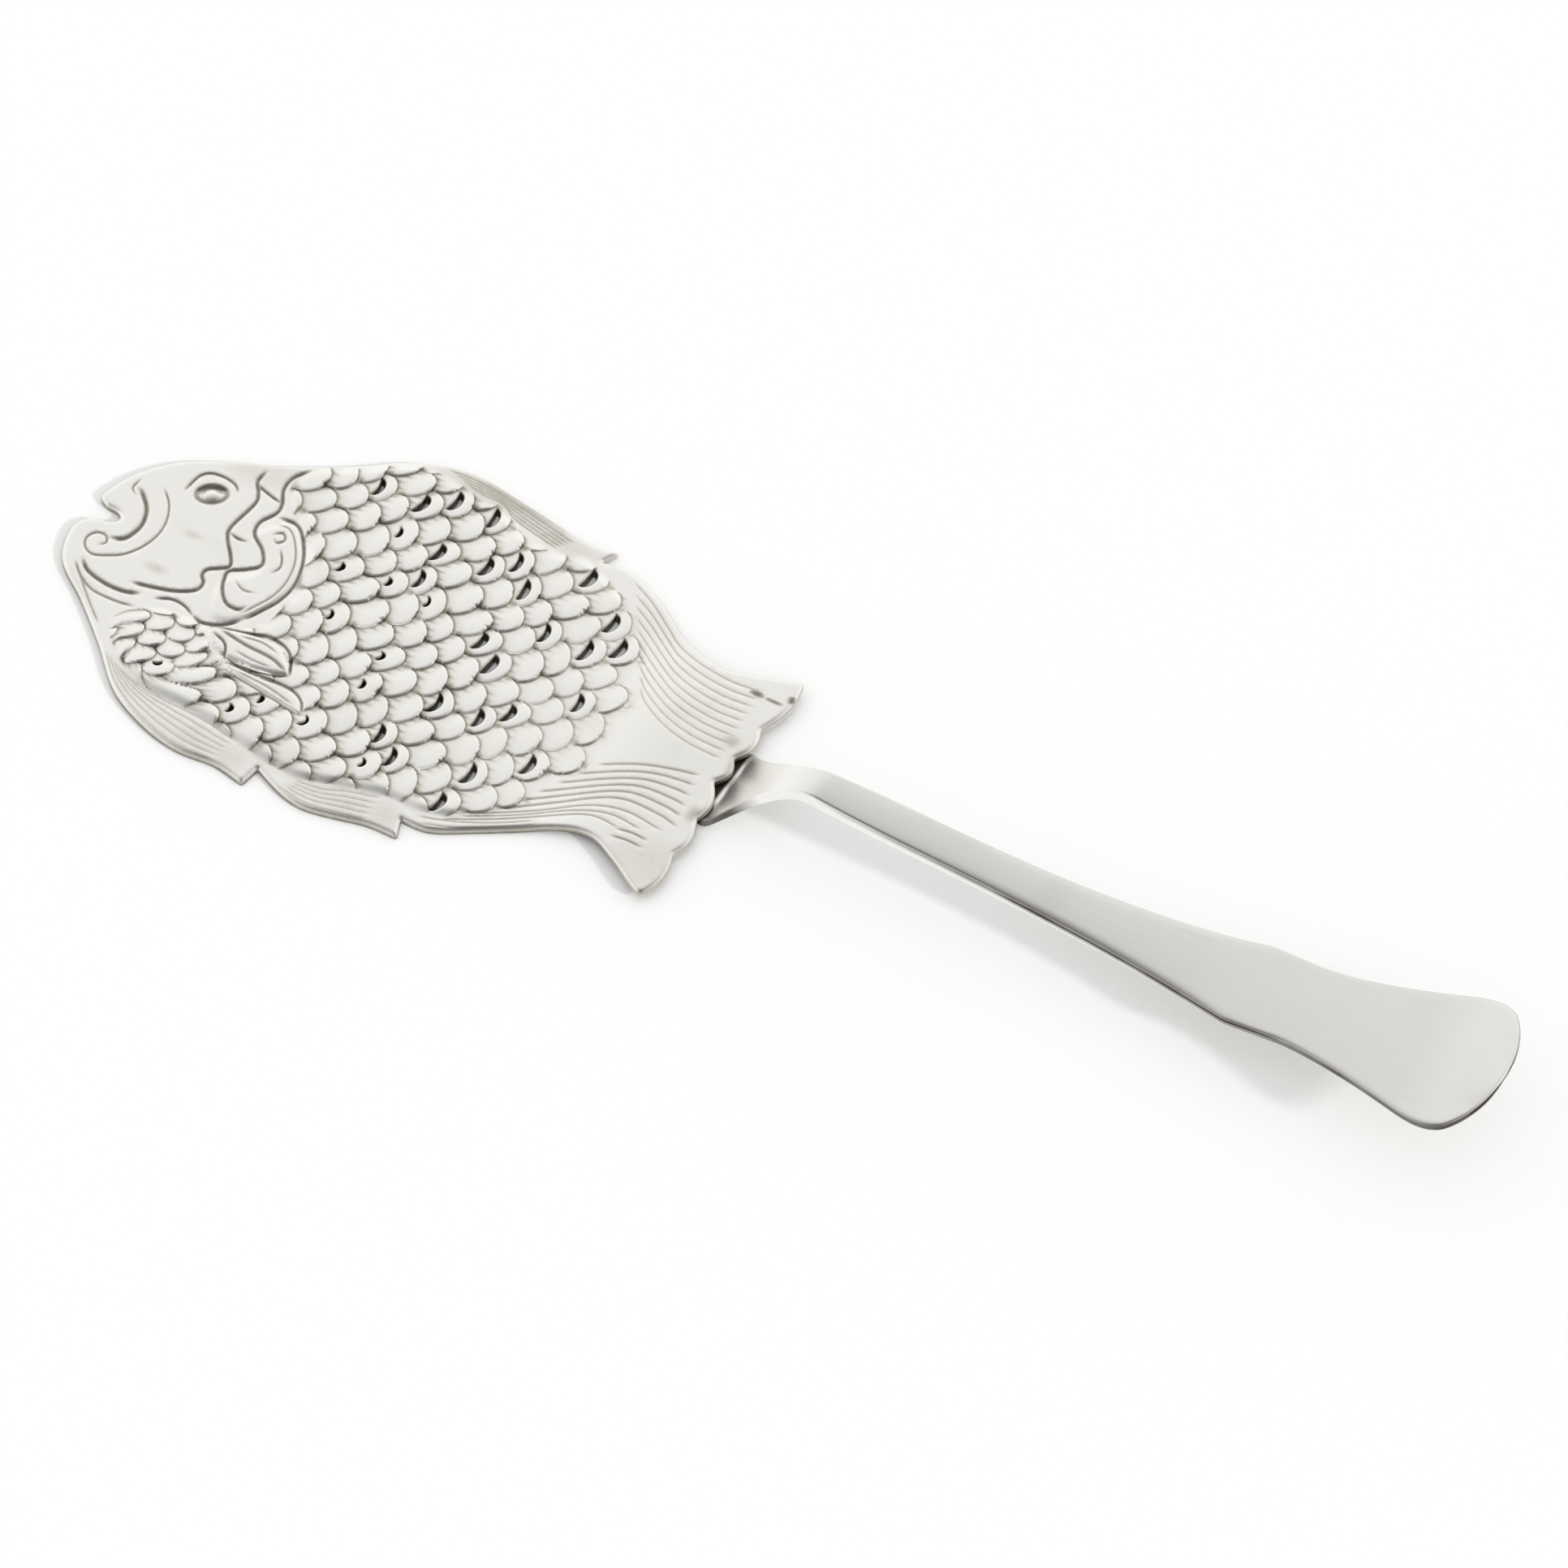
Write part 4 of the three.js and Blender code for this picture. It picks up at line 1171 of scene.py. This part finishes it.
# The plain underside, where the piercings are narrower
under_loops = [outline]
for loop in loops[1:]:
    middle = (loop.min(0) + loop.max(0)) / 2
    under_loops.append(middle + (loop - middle) * PIERCING_TAPER)
taken = {}
crowded_out(marks(under_loops), CLEAR, taken)
under_points = crowded_out(staggered(low, high, UNDERSIDE_STEP), CLEAR, taken)
bottom, bottom_faces, bottom_rings = triangles_of(np.vstack([*under_loops, under_points]), under_loops)
bottom_height = np.interp(bottom[:, 0], ogee_x, ogee_z)
under_edge = bottom[bottom_rings[0]]
# The dark underside makes the edge walls darken downward, partly tarnish and partly painted shade. The
# outline's lower edge is less dark at the tail's rear and its upper lobe
lighter_along = np.interp(under_edge[:, 0], WALL_LIGHTER_ALONG, WALL_LIGHTENING)
lighter_across = np.interp(under_edge[:, 1], WALL_LIGHTER_ACROSS, WALL_LIGHTENING)
under_tarnish_and_shade = np.full(len(bottom), UNDERSIDE_TARNISH_AND_SHADE)
under_tarnish_and_shade[bottom_rings[0]] *= lighter_along * lighter_across
unpunched = np.zeros(len(bottom))


def pairs(ring):
    """Each point of a closed ring with the next one."""
    return zip(ring, [*ring[1:], ring[0]])


count = len(top)
spots = np.column_stack([np.vstack([top, bottom]), np.concatenate([top_height, bottom_height])]) * MM
spots[:, :2] += (TAIL_CHORD, CENTRE_LINE)
faces = [tuple(face) for face in top_faces] + [tuple(face[::-1] + count) for face in bottom_faces]
sharp = set()
for upper, lower in zip(top_rings, bottom_rings):
    lower = [number + count for number in lower]
    for upper_pair, lower_pair in zip(pairs(upper), pairs(lower)):
        faces.append((*lower_pair, *reversed(upper_pair)))
        sharp.update((frozenset(upper_pair), frozenset(lower_pair)))
sawn = bpy.data.meshes.new("sawn_plate")
sawn.from_pydata(spots.tolist(), [], faces)
for edge in sawn.edges:
    edge.use_edge_sharp = frozenset(edge.vertices) in sharp
carried_values = {
    "field": (field, unpunched),
    "stain_and_shade_reach": (stain_and_shade_reach, unpunched),
    "tarnish_and_shade": (tarnish_and_shade, under_tarnish_and_shade),
}
for label, both_faces in carried_values.items():
    values = sawn.attributes.new(label, "FLOAT", "POINT")
    values.data.foreach_set("value", np.concatenate(both_faces).astype(np.float32))

chased_finish, chased_graph, chased_inputs = material("chased_silver", Metallic=1.0)
blade_place = chased_graph.node("ShaderNodeTexCoord", output="Object")
grain = chased_graph.noise(blade_place, GRAIN, GRAIN_DETAIL)
blade_clouds = chased_graph.noise(blade_place, BLADE_CLOUDS, GRAIN_DETAIL)
strokes = chased_graph.attribute("across") * STROKE_TURNS + blade_clouds * STROKE_WANDER
strokes = strokes.sin().share(0, STROKE_FULL) * chased_graph.attribute("stroked") * STROKE_STAIN
# The darkening holds tarnish in the lines and spots, and painted shade at the rims, walls and scale roots
stained_and_shaded = chased_graph.attribute("tarnish_and_shade") * (1 - GRAIN_STAIN / 2 + grain * GRAIN_STAIN)
blade_spots = blade_clouds.share(BLADE_SPOT_START, SPOT_RUN) * SPOT_STAIN
blade_dull_and_shade = (stained_and_shaded + strokes + blade_spots).clamped()
yellowed = chased_graph.mix(blade_dull_and_shade.share(0, YELLOWED_AT), BLADE_SILVER, BLADE_YELLOWED)
blackened = blade_dull_and_shade.share(DARKENED_FROM, 1 - DARKENED_FROM)
blade_sheen = BLADE_SHEEN + blade_clouds * CLOUD_SHEEN + grain * GRAIN_SHEEN
wired(chased_graph, chased_inputs, {
    "Base Color": chased_graph.mix(blackened, yellowed, BLADE_TARNISH_AND_SHADE),
    "Roughness": blade_sheen + blade_dull_and_shade * BLADE_DULLING,
    "Normal": scratched(chased_graph, grain, PITTING),
})

punch, plate, scale = sized_tree("punched_scales", SCALES)
spot = punch.node("ShaderNodeSeparateXYZ", None, [punch.node("GeometryNodeInputPosition")])
spot_along = (spot - scale["Tail Chord"]) / MM
spot_across = (spot.output("Y") - scale["Centre Line"]) / MM
grid_x, grid_y = warped(spot_along, spot_across)


def carried(label):
    """A value that the sawn plate carries on its points."""
    return punch.node("GeometryNodeInputNamedAttribute", {"data_type": "FLOAT"}, {"Name": label})


def scale_in(row):
    """The scale of a row at each place: how far along and across it the place is, and its column."""
    stagger = (row / 2).math("FRACT")
    column = (grid_y / scale["Scale Width"] - stagger + 0.5).math("FLOOR")
    middle = (column + stagger) * scale["Scale Width"]
    rim = -scale["Rear Row"] - row * scale["Row Pitch"]
    shown = rim.math("LESS_THAN", -scale["Rear Middle"] - middle * middle * scale["Rear Curve"])
    along, aside = strayed(row, column)
    side = (grid_y - middle - aside) * 2 / scale["Scale Width"]
    return grid_x + scale["Scale Bulge"] - rim - along, side, column, shown


def from_middle(forward, side):
    """1 on the scale's edge and less inside it."""
    front = forward.math("MAXIMUM", 0) / scale["Scale Bulge"]
    return (front * front + side * side).root()


front_row = ((-scale["Rear Row"] - grid_x) / scale["Row Pitch"]).math("FLOOR")
own_row = front_row - from_middle(*scale_in(front_row)[:2]).math("GREATER_THAN", 1)
forward, side, own_column, shown = scale_in(own_row)
ring = from_middle(forward, side)
over_forward, over_side, _, over_shown = scale_in(own_row + 1)
over_ring = from_middle(over_forward, over_side)
mean_radius = (scale["Scale Bulge"] + scale["Scale Width"] / 2) / 2
inside = (1 - ring) * mean_radius
outside = (over_ring - 1) * mean_radius
# The node's sockets for the least and the most, the scale's own number and the seed
chance_inputs = {
    2: -scale["Unevenness"],
    3: scale["Unevenness"],
    7: own_row * SCALE_ROW_CODE + own_column,
    8: scale["Seed"],
}
chance = punch.node("FunctionNodeRandomValue", {"data_type": "FLOAT"}, chance_inputs, 1)
from_root = forward + scale["Row Pitch"]
scale_height = scale["Root Height"] + scale["Step"] * from_root / scale["Row Pitch"]
scale_height = scale_height + scale["Dome"] * (1 - ring * ring) + chance
lip = scale["Lip"] * (1 - inside.share(0, scale["Lip Width"])) ** 2
groove = scale["Groove"] * (1 - outside.share(0, scale["Groove Width"])) ** 2
scale_height = (scale_height - lip) * shown - over_shown * groove
to_root = (from_root * from_root + side * side * CORNER_NARROWING).root()
from_end = (1 - side.math("ABSOLUTE")) * (scale["Scale Width"] / 2)
to_end = (forward * forward + from_end * from_end).root()
# Partly tarnish and partly painted shade: dark where scales meet, a dark line in the groove past each edge,
# and painted shade over the root that the scale in front overlaps
meeting = (1 - to_root.share(0, scale["Corner Reach"])) ** scale["Tarnish And Shade Fall"]
meeting = meeting + (1 - to_end.share(0, scale["End Reach"])) ** scale["Tarnish And Shade Fall"]
scale_tarnish_and_shade = scale["Line Tarnish And Shade"] * (1 - outside.share(0, scale["Line Width"]))
scale_tarnish_and_shade = scale_tarnish_and_shade + scale["Root Painted Shade"] * (1 - outside.share(0, scale["Root Reach"])) ** scale["Tarnish And Shade Fall"]
scale_tarnish_and_shade = scale_tarnish_and_shade + scale["Corner Tarnish And Shade"] * meeting
covered = carried("stain_and_shade_reach") * over_shown
stroked = covered * (1 - outside.share(scale["Stroke Start"], scale["Stroke Run"]))
plate = stored(punch, plate, {
    "tarnish_and_shade": (carried("tarnish_and_shade") + covered * scale_tarnish_and_shade).clamped(),
    "stroked": stroked * chance.math("GREATER_THAN", scale["Stroke Chance"]),
    "across": side,
})
raised_by = punch.node("ShaderNodeCombineXYZ", None, [0.0, 0.0, carried("field") * scale_height * MM])
plate = punch.node("GeometryNodeSetPosition", None, {"Geometry": plate, "Offset": raised_by})
plate = punch.node("GeometryNodeSetShadeSmooth", None, [plate])
finished_tree(punch, plate, chased_finish)
blade = made_by_tree("chased_blade", punch.tree, SCALES, sawn)
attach(blade, "root")
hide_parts("fish_blade")
